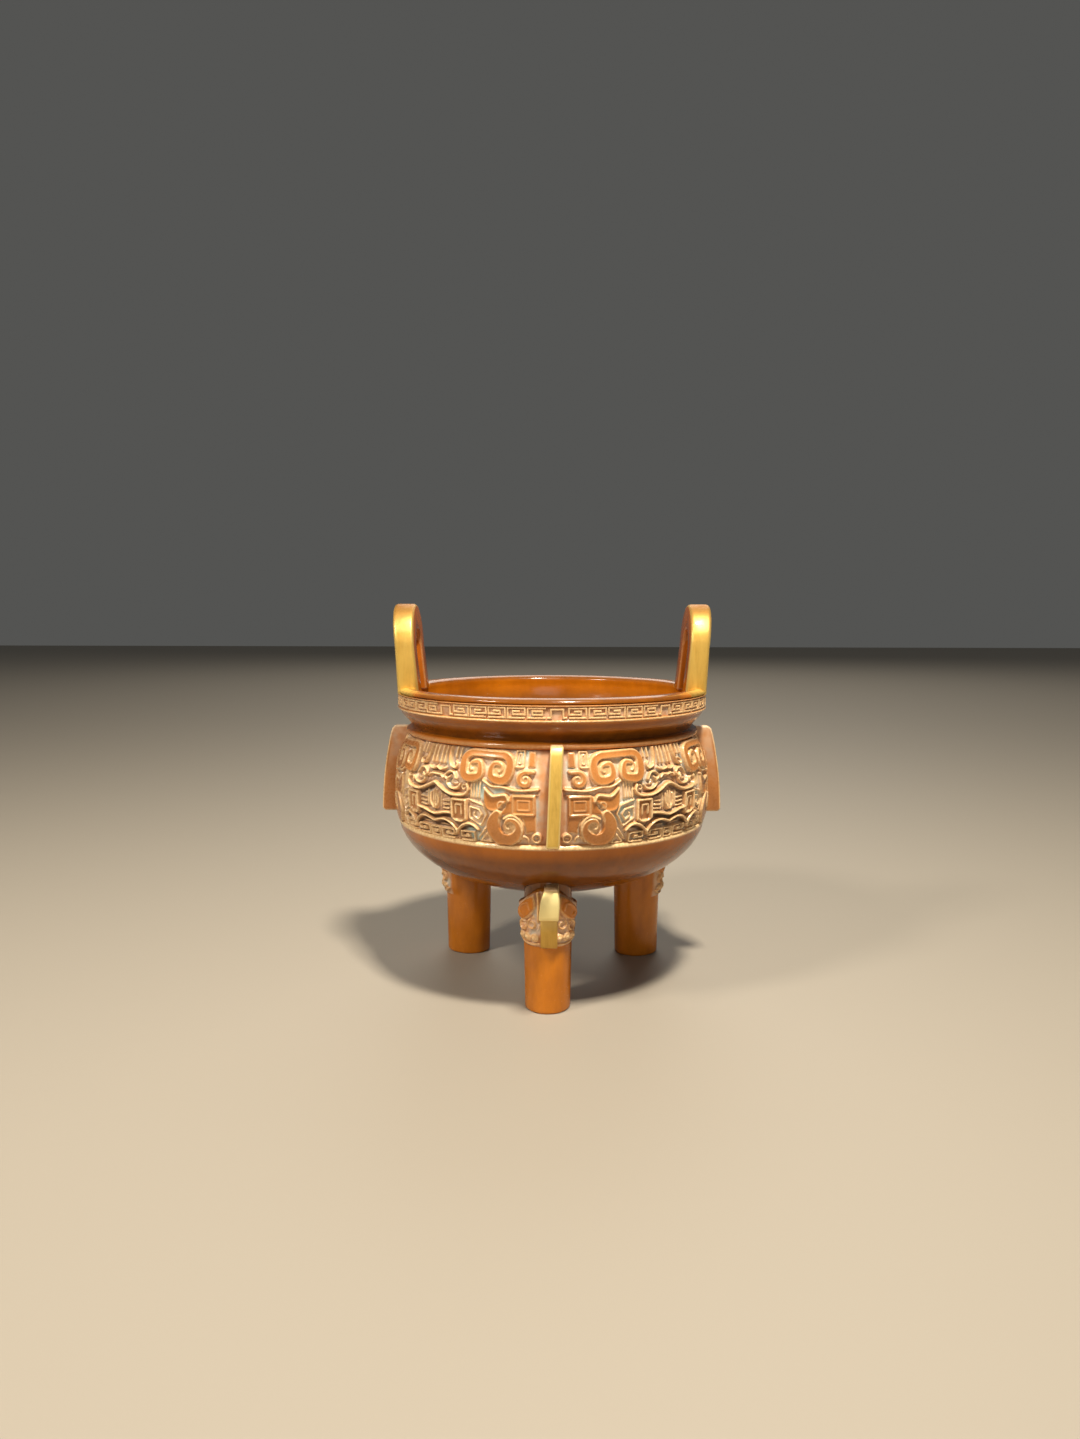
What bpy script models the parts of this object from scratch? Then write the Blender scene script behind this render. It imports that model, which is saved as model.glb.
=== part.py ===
"""A porcelain tripod ding: a round hollow bowl on three column legs, with two loop handles, four
flanges and a band of beast masks in relief. It is moulded and fired in one piece, so it is one solid.
Metres, +Z up, origin on the ground under the middle of the bowl, front towards -Y."""

import math

import bmesh
import bpy
from mathutils import Matrix, Vector

# Heights, from the ground up
LEG_CLEARANCE = 0.0454
BOWL_RISE = 0.0351
RELIEF_HEIGHT = 0.0405
SHOULDER_HEIGHT = 0.0032
NECK_HEIGHT = 0.0092
BAND_HEIGHT = 0.0081
LIP_HEIGHT = 0.0022
HANDLE_RISE = 0.0398

# The turned body
RIM_RADIUS = 0.0757
LIP_WIDTH = 0.0085
BAND_TAPER = 0.0004
BAND_LEDGE = 0.0010
GROOVE_DEPTH = 0.0009
NECK_DEPTH = 0.0070
BELLY_RADIUS = 0.0760
BELLY_ARC = 0.060
BELLY_LEVEL = 0.37
BORDER_PROUD = 0.0014
BOWL_POWER = 2.3
BOWL_SPREAD = 1.022
WALL = 0.0048
TURNED_STEPS = 32

# The loop handles
HANDLE_WIDTH = 0.041
HANDLE_STRIP = 0.0112
HANDLE_THICKNESS = 0.0082
HANDLE_SWELL = 0.0022
HANDLE_LEAN = 0.0021
HANDLE_SETBACK = 0.0031
HANDLE_ROOT = 0.0045
HANDLE_BEVEL = 0.0012
ARCH_STEPS = 8

# The four flanges
FLANGE_WIDTH = 0.0058
FLANGE_TOP_REACH = 0.0100
FLANGE_FOOT_REACH = 0.0102
FLANGE_BOW = 0.0013
FLANGE_ROUNDING = 0.0016
FRONT_FLANGE_TOP_SHIFT = 0.0022
FRONT_FLANGE_FOOT_SHIFT = 0.0004

# The legs
LEG_COUNT = 3
LEG_CIRCLE = 0.0515
LEG_TURN = math.radians(-1.7)
LEG_HALF_WIDTH = 0.0112
LEG_HALF_DEPTH = 0.0124
LEG_TAPER = 0.93
FOOT_ROUNDING = 0.0009
LEG_STEPS = 12
MASK_STEPS = 10
MASK_LEVELS = 3

# The beast mask on each leg
MASK_FOOT = 0.0300
MASK_HALF_WIDTH = 0.0132
MASK_PROUD = 0.0028
NOSE_TIP_HEIGHT = 0.0445
NOSE_REACH = 0.0066
NOSE_TIP_WIDTH = 0.0088
NOSE_TOP_WIDTH = 0.0056
NOSE_ROUNDING = 0.0020
MUZZLE_WIDTH = 0.0076
MUZZLE_REACH = 0.0022
# Bosses beside the nose: name, share across and up the mask, set-out, half sizes outwards, across, up
FACE_BOSSES = (
    ("ear", 0.62, 0.80, -0.0010, (0.0042, 0.0036, 0.0052)),
    ("eye", 0.56, 0.45, 0.0004, (0.0030, 0.0030, 0.0026)),
    ("fang", 0.52, 0.15, -0.0006, (0.0030, 0.0026, 0.0024)),
)

# The relief: its figures stand on the belly, drawn on a grid whose unit is about a degree
# round the belly and as much of the band's height
FRONT_MASK_HALF = 43.0
SIDE_MASK_HALF = 90.0 - FRONT_MASK_HALF
FIGURE_HEIGHT = 0.0021
LOW_FIGURE_HEIGHT = 0.0014
FIGURE_ROOT = 0.0016
FIGURE_DRAFT = 0.10
GRID_WIDTH = 43.0
GRID_HEIGHT = 30.5
HORN_MIDDLE = 22.85

CERAMIC = (0.42, 0.15, 0.035, 1.0)
CERAMIC_ROUGHNESS = 0.25

BOWL_TOP = LEG_CLEARANCE + BOWL_RISE
RELIEF_TOP = BOWL_TOP + RELIEF_HEIGHT
SHOULDER_TOP = RELIEF_TOP + SHOULDER_HEIGHT
BAND_FOOT = SHOULDER_TOP + NECK_HEIGHT
BAND_TOP = BAND_FOOT + BAND_HEIGHT
LIP_TOP = BAND_TOP + LIP_HEIGHT
HANDLE_TOP = LIP_TOP + HANDLE_RISE
NECK_RADIUS = RIM_RADIUS - NECK_DEPTH
BORDER_HEIGHT = 0.09 * BOWL_RISE


def blend(a, b, share):
    """The value that far from a to b."""
    return a + (b - a) * share


def ground_radius(z):
    """Radius of the belly's ground, the surface that the relief stands on."""
    middle = BOWL_TOP + BELLY_LEVEL * RELIEF_HEIGHT
    rise = min(abs(z - middle), 0.9 * BELLY_ARC)
    return BELLY_RADIUS - BELLY_ARC + math.sqrt(BELLY_ARC**2 - rise**2)


BORDER_RADIUS = ground_radius(BOWL_TOP) + BORDER_PROUD


def bowl_under(radius):
    """Height of the bowl's underside at a radius: a superellipse from its middle to the border bead."""
    spread = BORDER_RADIUS * BOWL_SPREAD
    end = (1 - BOWL_SPREAD**-BOWL_POWER) ** (1 / BOWL_POWER)
    share = (1 - min(radius / spread, 1 / BOWL_SPREAD) ** BOWL_POWER) ** (1 / BOWL_POWER)
    return LEG_CLEARANCE + (BOWL_RISE - BORDER_HEIGHT) * (1 - share) / (1 - end)


def outer_profile():
    """The outside from the lip's crown down to the middle of the underside, as (radius, height)."""
    crown = RIM_RADIUS - LIP_WIDTH / 2
    shoulder = ground_radius(RELIEF_TOP) + BORDER_PROUD
    points = [
        (crown, LIP_TOP),
        (RIM_RADIUS - 0.12 * LIP_WIDTH, blend(BAND_TOP, LIP_TOP, 0.7)),
        (RIM_RADIUS, blend(BAND_TOP, LIP_TOP, 0.2)),
        (RIM_RADIUS - GROOVE_DEPTH, BAND_TOP),
        (RIM_RADIUS, blend(BAND_TOP, BAND_FOOT, 0.06)),
        (RIM_RADIUS - BAND_TAPER, BAND_FOOT),
    ]
    under_band = RIM_RADIUS - BAND_TAPER - BAND_LEDGE
    for share in (0.1, 0.55, 1.0):
        inward = (1 - math.cos(math.pi * share)) / 2
        points.append((blend(under_band, NECK_RADIUS, inward), blend(BAND_FOOT, SHOULDER_TOP, share)))
    points.append((shoulder, blend(SHOULDER_TOP, RELIEF_TOP, 0.35)))
    points.append((shoulder, blend(SHOULDER_TOP, RELIEF_TOP, 0.8)))
    for i in range(4):
        z = blend(RELIEF_TOP, BOWL_TOP, i / 3)
        points.append((ground_radius(z), z))
    points.append((BORDER_RADIUS, BOWL_TOP - 0.35 * BORDER_HEIGHT))
    for share in (1.0, 0.94, 0.83, 0.66, 0.38, 0.0):
        radius = share * BORDER_RADIUS
        points.append((radius, bowl_under(radius)))
    return points


def inner_profile():
    """The inside from its middle up to the lip's crown: the outside, set in by the wall."""
    points = [(0.0, bowl_under(0.0) + WALL)]
    for share in (0.45, 0.82, 0.95):
        radius = share * BORDER_RADIUS
        step = 0.01 * BORDER_RADIUS
        across = Vector((2 * step, bowl_under(radius + step) - bowl_under(radius - step))).normalized()
        points.append((radius - WALL * across.y, bowl_under(radius) + WALL * across.x))
    for share in (0.25, 0.75):
        z = blend(BOWL_TOP, RELIEF_TOP, share)
        points.append((ground_radius(z) - WALL, z))
    points.append((NECK_RADIUS - WALL, SHOULDER_TOP))
    points.append((RIM_RADIUS - LIP_WIDTH, blend(BAND_FOOT, BAND_TOP, 0.55)))
    points.append((RIM_RADIUS - 0.97 * LIP_WIDTH, BAND_TOP))
    points.append((RIM_RADIUS - 0.88 * LIP_WIDTH, blend(BAND_TOP, LIP_TOP, 0.7)))
    return points


def start_scene():
    """Empties the scene and makes the two collections."""
    for obj in list(bpy.data.objects):
        bpy.data.objects.remove(obj, do_unlink=True)
    scene = bpy.context.scene.collection
    made = []
    for name in ("ding", "joined_shapes"):
        group = bpy.data.collections.new(name)
        scene.children.link(group)
        made.append(group)
    return made


def place(name, mesh, collection):
    """A new object in a collection. A shape that is joined to the body is only a wire in the view."""
    obj = bpy.data.objects.new(name, mesh)
    collection.objects.link(obj)
    if collection.name == "joined_shapes":
        obj.hide_render = True
        obj.display_type = "WIRE"
    return obj


def settled(obj):
    """The object's evaluated mesh, welded, with the object itself removed."""
    graph = bpy.context.evaluated_depsgraph_get()
    mesh = bpy.data.meshes.new_from_object(obj.evaluated_get(graph))
    bpy.data.objects.remove(obj, do_unlink=True)
    shape = bmesh.new()
    shape.from_mesh(mesh)
    bmesh.ops.remove_doubles(shape, verts=shape.verts, dist=1e-6)
    bmesh.ops.recalc_face_normals(shape, faces=shape.faces)
    shape.to_mesh(mesh)
    shape.free()
    return mesh


def turned(name, profile, steps):
    """A solid of revolution from a profile that runs down its outer side."""
    mesh = bpy.data.meshes.new(name)
    edges = [(i, i + 1) for i in range(len(profile) - 1)]
    mesh.from_pydata([(r, 0, z) for r, z in profile], edges, [])
    obj = place(name, mesh, bpy.context.scene.collection)
    screw = obj.modifiers.new("turn", "SCREW")
    screw.steps = steps
    screw.render_steps = steps
    screw.use_merge_vertices = True
    screw.merge_threshold = 1e-6
    return settled(obj)


def flat_solid(name, outline, thickness):
    """A flat outline in X and Z, filled and given its thickness along Y."""
    curve = bpy.data.curves.new(name, "CURVE")
    curve.dimensions = "2D"
    curve.fill_mode = "BOTH"
    curve.extrude = thickness / 2
    spline = curve.splines.new("POLY")
    spline.points.add(len(outline) - 1)
    for point, (x, z) in zip(spline.points, outline):
        point.co = (x, z, 0, 1)
    spline.use_cyclic_u = True
    obj = place(name, curve, bpy.context.scene.collection)
    mesh = settled(obj)
    mesh.transform(Matrix.Rotation(math.pi / 2, 4, "X"))
    return mesh


def reshape(mesh, rule):
    """Moves every point of a mesh by a rule and turns its faces to triangles."""
    for vertex in mesh.vertices:
        vertex.co = rule(vertex.co.copy())
    shape = bmesh.new()
    shape.from_mesh(mesh)
    bmesh.ops.triangulate(shape, faces=shape.faces)
    bmesh.ops.recalc_face_normals(shape, faces=shape.faces)
    shape.to_mesh(mesh)
    shape.free()
    return mesh


def make_handle(name, side, collection):
    """A leaning loop that stands on the lip: a U upside down, thicker towards its top."""
    half = HANDLE_WIDTH / 2
    hole = half - HANDLE_STRIP
    spring = HANDLE_TOP - half
    hole_spring = HANDLE_TOP - 1.08 * HANDLE_STRIP - hole
    foot = LIP_TOP - HANDLE_ROOT
    outline = [(half, foot)]
    for i in range(ARCH_STEPS + 1):
        turn = math.pi * i / ARCH_STEPS
        outline.append((half * math.cos(turn), spring + half * math.sin(turn)))
    outline += [(-half, foot), (-hole, foot)]
    for i in range(ARCH_STEPS // 2 + 1):
        turn = math.pi * (1 - 2 * i / ARCH_STEPS)
        outline.append((hole * math.cos(turn), hole_spring + hole * math.sin(turn)))
    outline.append((hole, foot))
    mesh = flat_solid(name, outline, HANDLE_THICKNESS)
    inner = RIM_RADIUS - HANDLE_SETBACK - HANDLE_THICKNESS

    def lean(point):
        height = (point.z - LIP_TOP) / HANDLE_RISE
        outwards = inner + HANDLE_LEAN * height
        if point.y > 0:
            outwards += HANDLE_THICKNESS + HANDLE_SWELL * height
        return Vector((side * outwards, point.x, point.z))

    obj = place(name, reshape(mesh, lean), bpy.context.scene.collection)
    bevel = obj.modifiers.new("soft edges", "BEVEL")
    bevel.width = HANDLE_BEVEL
    bevel.segments = 1
    bevel.limit_method = "ANGLE"
    bevel.angle_limit = math.radians(50)
    return place(name, settled(obj), collection)


def make_flange(name, azimuth, top_shift, foot_shift, collection):
    """An upright fin down the middle of a mask, from the shoulder to the border bead."""
    top = blend(RELIEF_TOP, SHOULDER_TOP, 0.85)
    foot = BOWL_TOP + 0.01 * RELIEF_HEIGHT
    top_radius = ground_radius(top) + FLANGE_TOP_REACH
    foot_radius = ground_radius(foot) + FLANGE_FOOT_REACH
    outline = [(foot_radius - FLANGE_ROUNDING, foot), (foot_radius, foot + FLANGE_ROUNDING)]
    for share in (0.35, 0.7):
        bow = 4 * FLANGE_BOW * share * (1 - share)
        outline.append((blend(foot_radius, top_radius, share) + bow, blend(foot, top, share)))
    outline += [(top_radius, top - FLANGE_ROUNDING), (top_radius - FLANGE_ROUNDING, top)]
    for share in (1.0, 0.5, 0.0):
        z = blend(foot, top, share)
        outline.append((ground_radius(z) - WALL / 2, z))
    mesh = flat_solid(name, outline, FLANGE_WIDTH)
    turn = Matrix.Rotation(azimuth, 4, "Z")

    def stand(point):
        share = (point.z - foot) / (top - foot)
        sideways = point.y + blend(foot_shift, top_shift, share)
        return turn @ Vector((sideways, -point.x, point.z))

    return place(name, reshape(mesh, stand), collection)


def leg_frame(index):
    """Turns a shape made with +X outwards on the leg circle to its leg."""
    azimuth = LEG_TURN + 2 * math.pi * index / LEG_COUNT
    return Matrix.Rotation(azimuth - math.pi / 2, 4, "Z")


def under_wall(x, y):
    """A height inside the bowl's wall above a point of the plan."""
    return bowl_under(math.hypot(x, y)) + WALL / 2


def make_leg(index, collection):
    """An oval column with a rounded foot, its top following the underside of the bowl."""
    top = LEG_CLEARANCE
    profile = [
        (0.0, top),
        (LEG_HALF_WIDTH, top),
        (LEG_HALF_WIDTH * LEG_TAPER, FOOT_ROUNDING),
        (LEG_HALF_WIDTH * LEG_TAPER - FOOT_ROUNDING, 0.0),
        (0.0, 0.0),
    ]
    mesh = turned(f"leg_{index}", profile, LEG_STEPS)
    frame = leg_frame(index)

    def stand(point):
        x = LEG_CIRCLE + point.x * LEG_HALF_DEPTH / LEG_HALF_WIDTH
        z = under_wall(x, point.y) if point.z > 0.99 * top else point.z
        return frame @ Vector((x, point.y, z))

    return place(f"leg_{index}", reshape(mesh, stand), collection)


def make_mask(index, collection):
    """The swelling that carries a beast's face, from the column up into the bowl."""
    profile = [(1.0, 1.0 - i / MASK_LEVELS) for i in range(MASK_LEVELS + 1)]
    profile = [(0.0, 1.0), *profile, (0.0, 0.0)]
    mesh = turned(f"mask_{index}", profile, MASK_STEPS)
    frame = leg_frame(index)
    brow = bowl_under(LEG_CIRCLE + LEG_HALF_DEPTH + MASK_PROUD)

    def stand(point):
        share = point.z
        swell = math.sin(math.pi * min(1.0, 0.10 + 1.05 * share)) ** 0.55
        half_width = blend(0.96 * LEG_HALF_WIDTH, MASK_HALF_WIDTH, swell)
        depth = blend(0.97 * LEG_HALF_DEPTH, LEG_HALF_DEPTH + MASK_PROUD, swell)
        x = LEG_CIRCLE + point.x * (depth if point.x > 0 else 0.85 * LEG_HALF_DEPTH)
        y = point.y * half_width
        z = blend(MASK_FOOT, brow, share)
        if share > 0.99:
            z = under_wall(x, y) - WALL / 5
        return frame @ Vector((x, y, z))

    return place(f"mask_{index}", reshape(mesh, stand), collection)


def make_nose(index, collection):
    """The flange down a mask's middle: a beak that widens to its tip, over a plain muzzle."""
    front = LEG_CIRCLE + LEG_HALF_DEPTH
    frame = leg_frame(index)
    brow = bowl_under(front)
    back = front - 2 * MASK_PROUD
    tip = front + NOSE_REACH
    beak = [
        (back, NOSE_TIP_HEIGHT + 0.4 * NOSE_ROUNDING),
        (tip - NOSE_ROUNDING, NOSE_TIP_HEIGHT),
        (tip, NOSE_TIP_HEIGHT + NOSE_ROUNDING),
        (tip - 0.2 * NOSE_ROUNDING, blend(NOSE_TIP_HEIGHT, brow, 0.45)),
        (tip - 2 * NOSE_ROUNDING, brow - 0.2 * NOSE_ROUNDING),
        (back, brow + 0.6 * NOSE_ROUNDING),
    ]
    mesh = flat_solid(f"beak_{index}", beak, 1.0)

    def widen(point):
        share = (point.z - NOSE_TIP_HEIGHT) / (brow - NOSE_TIP_HEIGHT)
        width = blend(NOSE_TIP_WIDTH, NOSE_TOP_WIDTH, max(0.0, share))
        return frame @ Vector((point.x, point.y * width, point.z))

    place(f"beak_{index}", reshape(mesh, widen), collection)
    muzzle_front = front + MUZZLE_REACH
    muzzle_foot = MASK_FOOT + MUZZLE_REACH / 2
    muzzle_top = NOSE_TIP_HEIGHT + 0.8 * NOSE_ROUNDING
    muzzle = [
        (back, muzzle_foot),
        (muzzle_front - MUZZLE_REACH / 2, muzzle_foot),
        (muzzle_front, muzzle_foot + MUZZLE_REACH / 2),
        (muzzle_front + MUZZLE_REACH / 2, muzzle_top),
        (back, muzzle_top),
    ]
    mesh = flat_solid(f"muzzle_{index}", muzzle, MUZZLE_WIDTH)
    place(f"muzzle_{index}", reshape(mesh, lambda point: frame @ point), collection)


def make_knob(name, centre, size, frame, collection):
    """A small boss that narrows outwards, as an eye or the end of a curl."""
    shape = bmesh.new()
    bmesh.ops.create_cone(shape, cap_ends=True, segments=6, radius1=1.0, radius2=0.55, depth=2.0)
    bmesh.ops.rotate(shape, verts=shape.verts, matrix=Matrix.Rotation(math.pi / 2, 3, "Y"))
    mesh = bpy.data.meshes.new(name)
    shape.to_mesh(mesh)
    shape.free()

    def stand(point):
        x = centre[0] + point.x * size[0]
        return frame @ Vector((x, centre[1] + point.y * size[1], centre[2] + point.z * size[2]))

    return place(name, reshape(mesh, stand), collection)


def make_face(index, collection):
    """Ears, eyes and curled fangs on both sides of a mask's nose."""
    frame = leg_frame(index)
    front = LEG_CIRCLE + LEG_HALF_DEPTH
    brow = bowl_under(front + MASK_PROUD)
    for side in (-1, 1):
        hand = "l" if side < 0 else "r"
        for name, across, share, out, size in FACE_BOSSES:
            height = blend(MASK_FOOT, brow, share)
            centre = (front + out, side * across * MASK_HALF_WIDTH, height)
            make_knob(f"{name}_{hand}_{index}", centre, size, frame, collection)


def spiral(centre, first, last, start, end, steps):
    """Points whose distance from a centre and turn, in degrees, both run evenly from first to last."""
    points = []
    for i in range(steps + 1):
        turn = math.radians(blend(start, end, i / steps))
        reach = blend(first, last, i / steps)
        points.append((centre[0] + reach * math.cos(turn), centre[1] + reach * math.sin(turn)))
    return points


def horn_spine():
    """A bar whose two ends roll down and under into volutes, the far one the near one's mirror image."""
    near = spiral((18.4, 24.3), 4.9, 1.3, 122, 430, 5)
    return near[::-1] + [(2 * HORN_MIDDLE - x, y) for x, y in near]


def mask_figures():
    """The main figures of half a mask: name, spine on the drawing grid, widths from end to end, height."""
    high, low = FIGURE_HEIGHT, LOW_FIGURE_HEIGHT
    return [
        ("horn", horn_spine(), (1.3, 3.1, 1.3), high),
        ("forehead", [(7.0, 30.2), (7.0, 23.8)], (2.8, 2.8), low),
        ("nostril", [(6.3, 23.9), *spiral((8.5, 21.1), 2.9, 1.2, 78, -200, 4)], (1.7, 1.7, 1.2), high),
        ("brow", [(4.6, 18.2), (15.0, 18.0), (22.6, 20.2)], (1.1, 1.1), low),
        ("ear", [(12.9, 16.0), (17.4, 14.4), (22.3, 13.0)], (1.2, 3.6, 5.4), low),
        ("eye", [(5.9, 13.0), (12.5, 13.0)], (6.0, 6.0), low),
        ("pupil", [(7.0, 13.0), (11.6, 13.0)], (3.6, 3.6), high),
        ("snout", [(7.1, 9.4), (6.8, 4.4)], (3.2, 3.8), low),
        ("jaw", spiral((14.6, 5.8), 6.2, 1.4, 48, -265, 7), (3.0, 3.6, 1.6), high),
        ("lozenge", [(23.0, 7.4), (26.4, 12.6)], (4.2, 4.2), low),
        ("boat", [(28.7, 18.4), (31.2, 15.4), (36.6, 15.5), (41.4, 18.0)], (1.5, 1.5), high),
        ("far_eye", [(29.0, 10.4), (34.8, 10.4)], (6.6, 6.6), low),
        ("far_pupil", [(30.6, 10.4), (33.2, 10.4)], (2.8, 2.8), high),
        ("wing", [(25.0, 4.6), (28.6, 5.7), (33.2, 3.8), (36.4, 5.8), (41.6, 6.4)], (1.2, 1.2), high),
        ("far_bar", [(38.6, 29.6), (38.6, 21.4)], (3.4, 3.4), low),
    ]


def width_along(widths, share):
    """A width part of the way along a figure, between the ones that are given."""
    place_on = share * (len(widths) - 1)
    i = min(int(place_on), len(widths) - 2)
    return blend(widths[i], widths[i + 1], place_on - i)


def ribbon(name, spine, widths, height, wrap):
    """A figure of the relief: a strip along its spine, raised off the wall and rooted in it."""
    shape = bmesh.new()
    rings = []
    levels = ((-FIGURE_ROOT, 0.0), (height, FIGURE_DRAFT))
    for i, here in enumerate(spine):
        before, after = Vector(spine[max(i - 1, 0)]), Vector(spine[min(i + 1, len(spine) - 1)])
        along = (after - before).normalized()
        across = Vector((-along.y, along.x))
        ends = (i == 0) - (i == len(spine) - 1)
        width = width_along(widths, i / (len(spine) - 1))
        ring = []
        for side in (-1, 1):
            for lift, narrowing in levels if side < 0 else levels[::-1]:
                draft = min(width, 2.0) * narrowing
                at = Vector(here) + across * side * (width / 2 - draft) + along * ends * draft
                ring.append(shape.verts.new(wrap(at.x, at.y, lift)))
        rings.append(ring)
    for one, two in zip(rings, rings[1:]):
        for i in range(4):
            j = (i + 1) % 4
            shape.faces.new((one[i], one[j], two[j], two[i]))
    shape.faces.new(rings[0][::-1])
    shape.faces.new(rings[-1])
    bmesh.ops.triangulate(shape, faces=shape.faces)
    bmesh.ops.recalc_face_normals(shape, faces=shape.faces)
    mesh = bpy.data.meshes.new(name)
    shape.to_mesh(mesh)
    shape.free()
    return mesh


def on_belly(middle, hand, half_angle):
    """Wraps the drawing grid round the belly, from a mask's middle to one side of it."""

    def wrap(x, y, lift):
        azimuth = middle + hand * math.radians(half_angle) * x / GRID_WIDTH
        z = BOWL_TOP + RELIEF_HEIGHT * y / GRID_HEIGHT
        radius = ground_radius(z) + lift
        return Vector((radius * math.sin(azimuth), -radius * math.cos(azimuth), z))

    return wrap


def make_relief(collection):
    """Four masks, each drawn once for its half and again as its mirror image."""
    for mask in range(4):
        half_angle = SIDE_MASK_HALF if mask % 2 else FRONT_MASK_HALF
        for hand in (-1, 1):
            wrap = on_belly(mask * math.pi / 2, hand, half_angle)
            for name, spine, widths, height in mask_figures():
                label = f"{name}_{mask}_{'l' if hand < 0 else 'r'}"
                place(label, ribbon(label, spine, widths, height, wrap), collection)


def ceramic():
    """The brown glaze over porcelain."""
    glaze = bpy.data.materials.new("brown_glaze")
    glaze.use_nodes = True
    shader = glaze.node_tree.nodes["Principled BSDF"]
    shader.inputs["Base Color"].default_value = CERAMIC
    shader.inputs["Roughness"].default_value = CERAMIC_ROUGHNESS
    return glaze


def main():
    ding_group, joined = start_scene()
    body = place("ding", turned("ding", inner_profile() + outer_profile(), TURNED_STEPS), ding_group)
    body.data.materials.append(ceramic())
    for side in (-1, 1):
        make_handle("handle_l" if side < 0 else "handle_r", side, joined)
    for quarter in range(4):
        front = quarter == 0
        top_shift = FRONT_FLANGE_TOP_SHIFT if front else 0.0
        foot_shift = FRONT_FLANGE_FOOT_SHIFT if front else 0.0
        make_flange(f"flange_{quarter}", quarter * math.pi / 2, top_shift, foot_shift, joined)
    for index in range(LEG_COUNT):
        make_leg(index, joined)
        make_mask(index, joined)
        make_nose(index, joined)
        make_face(index, joined)
    make_relief(joined)
    join = body.modifiers.new("one piece", "BOOLEAN")
    join.operation = "UNION"
    join.operand_type = "COLLECTION"
    join.collection = joined
    join.solver = "EXACT"
    body.data.shade_smooth()
    body.data.set_sharp_from_angle(angle=math.radians(35))


main()
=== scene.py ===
# %% [markdown]
# # A porcelain ding
#
# A ding is a bronze age cooking vessel. This one is a censer moulded in porcelain in the old bronze
# shape: a bowl on three legs, two loop handles, four flanges and a band of beast masks. The solid model
# gives its true form. Here each part of it is made again with its fine relief, its brown glaze and its
# gilding.

import math

import bmesh
import bpy
import numpy as np
from mathutils import Matrix, Vector


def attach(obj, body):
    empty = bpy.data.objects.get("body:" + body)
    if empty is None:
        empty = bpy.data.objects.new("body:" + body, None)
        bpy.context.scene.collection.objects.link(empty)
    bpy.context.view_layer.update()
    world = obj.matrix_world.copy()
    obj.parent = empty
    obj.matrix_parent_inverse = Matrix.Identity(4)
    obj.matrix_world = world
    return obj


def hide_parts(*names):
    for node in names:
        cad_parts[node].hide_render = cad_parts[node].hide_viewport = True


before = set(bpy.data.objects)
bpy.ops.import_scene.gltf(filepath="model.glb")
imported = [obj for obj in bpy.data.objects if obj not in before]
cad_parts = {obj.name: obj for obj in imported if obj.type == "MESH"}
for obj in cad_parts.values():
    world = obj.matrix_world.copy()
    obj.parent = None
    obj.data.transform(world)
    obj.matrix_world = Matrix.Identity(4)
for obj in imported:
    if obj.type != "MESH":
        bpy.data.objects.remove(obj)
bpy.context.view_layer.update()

# %% [markdown]
# ## Sizes
#
# All sizes are in metres and are the solid model's own, so every piece lies on the form that it dresses.
# Heights run from the ground up.

# %% Heights and radii
BOWL_FOOT, BOWL_TOP = 0.0454, 0.0805
RELIEF_TOP, SHOULDER_TOP = 0.1210, 0.1242
BAND_FOOT, LIP_TOP, HANDLE_TOP = 0.1334, 0.1437, 0.1835
RIM_RADIUS, LIP_WIDTH, NECK_RADIUS, WALL = 0.0757, 0.0085, 0.0687, 0.0048
BELLY_RADIUS, BELLY_ARC, BELLY_MIDDLE = 0.0760, 0.0600, BOWL_TOP + 0.37 * (RELIEF_TOP - BOWL_TOP)
BORDER_DROP = 0.00316
MM = 0.001


def ground_radius(z):
    """Radius of the belly's ground, which the relief stands on."""
    return BELLY_RADIUS - BELLY_ARC + np.sqrt(BELLY_ARC**2 - (z - BELLY_MIDDLE) ** 2)


BORDER_RADIUS = float(ground_radius(BOWL_TOP)) + 0.0014


def bowl_under(radius):
    """Height of the bowl's underside at a radius: a squarish curve, flat in the middle."""
    power, spread = 2.3, 1.022
    end = (1 - spread**-power) ** (1 / power)
    share = (1 - np.minimum(radius / (BORDER_RADIUS * spread), 1 / spread) ** power) ** (1 / power)
    return BOWL_FOOT + (BOWL_TOP - BOWL_FOOT - BORDER_DROP) * (1 - share) / (1 - end)


print(f"belly ground {float(ground_radius(BELLY_MIDDLE)) / MM:.1f} mm, border {BORDER_RADIUS / MM:.1f} mm")

# %% [markdown]
# ## Camera
#
# The camera stands half a metre in front of the vessel, level with the tops of its handles, and looks
# slightly down. Its lens is written as a focal length on a 36 mm frame.

# %% Camera
CAMERA_PLACE = (-0.00149, -0.49879, 0.18287)
PITCH, YAW, ROLL = 0.1126, 0.0086, 0.0021
FOCAL_PIXELS, IMAGE_HEIGHT, FRAME_MM = 1009.14, 1439, 36


def add_camera():
    """A camera from its place and its three small turns."""
    side = Vector((math.cos(YAW), math.sin(YAW), 0))
    ahead = Vector((-math.sin(YAW) * math.cos(PITCH), math.cos(YAW) * math.cos(PITCH), -math.sin(PITCH)))
    up = side.cross(ahead)
    right = math.cos(ROLL) * side + math.sin(ROLL) * up
    top = math.cos(ROLL) * up - math.sin(ROLL) * side
    camera = bpy.data.objects.new("camera", bpy.data.cameras.new("camera"))
    camera.data.lens = FRAME_MM * FOCAL_PIXELS / IMAGE_HEIGHT
    camera.data.clip_start = 0.02
    turn = Matrix((right, top, -ahead)).transposed().to_4x4()
    camera.matrix_world = Matrix.Translation(CAMERA_PLACE) @ turn
    bpy.context.scene.collection.objects.link(camera)
    bpy.context.scene.camera = camera
    return camera


print("lens", round(add_camera().data.lens, 2), "mm")

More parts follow.
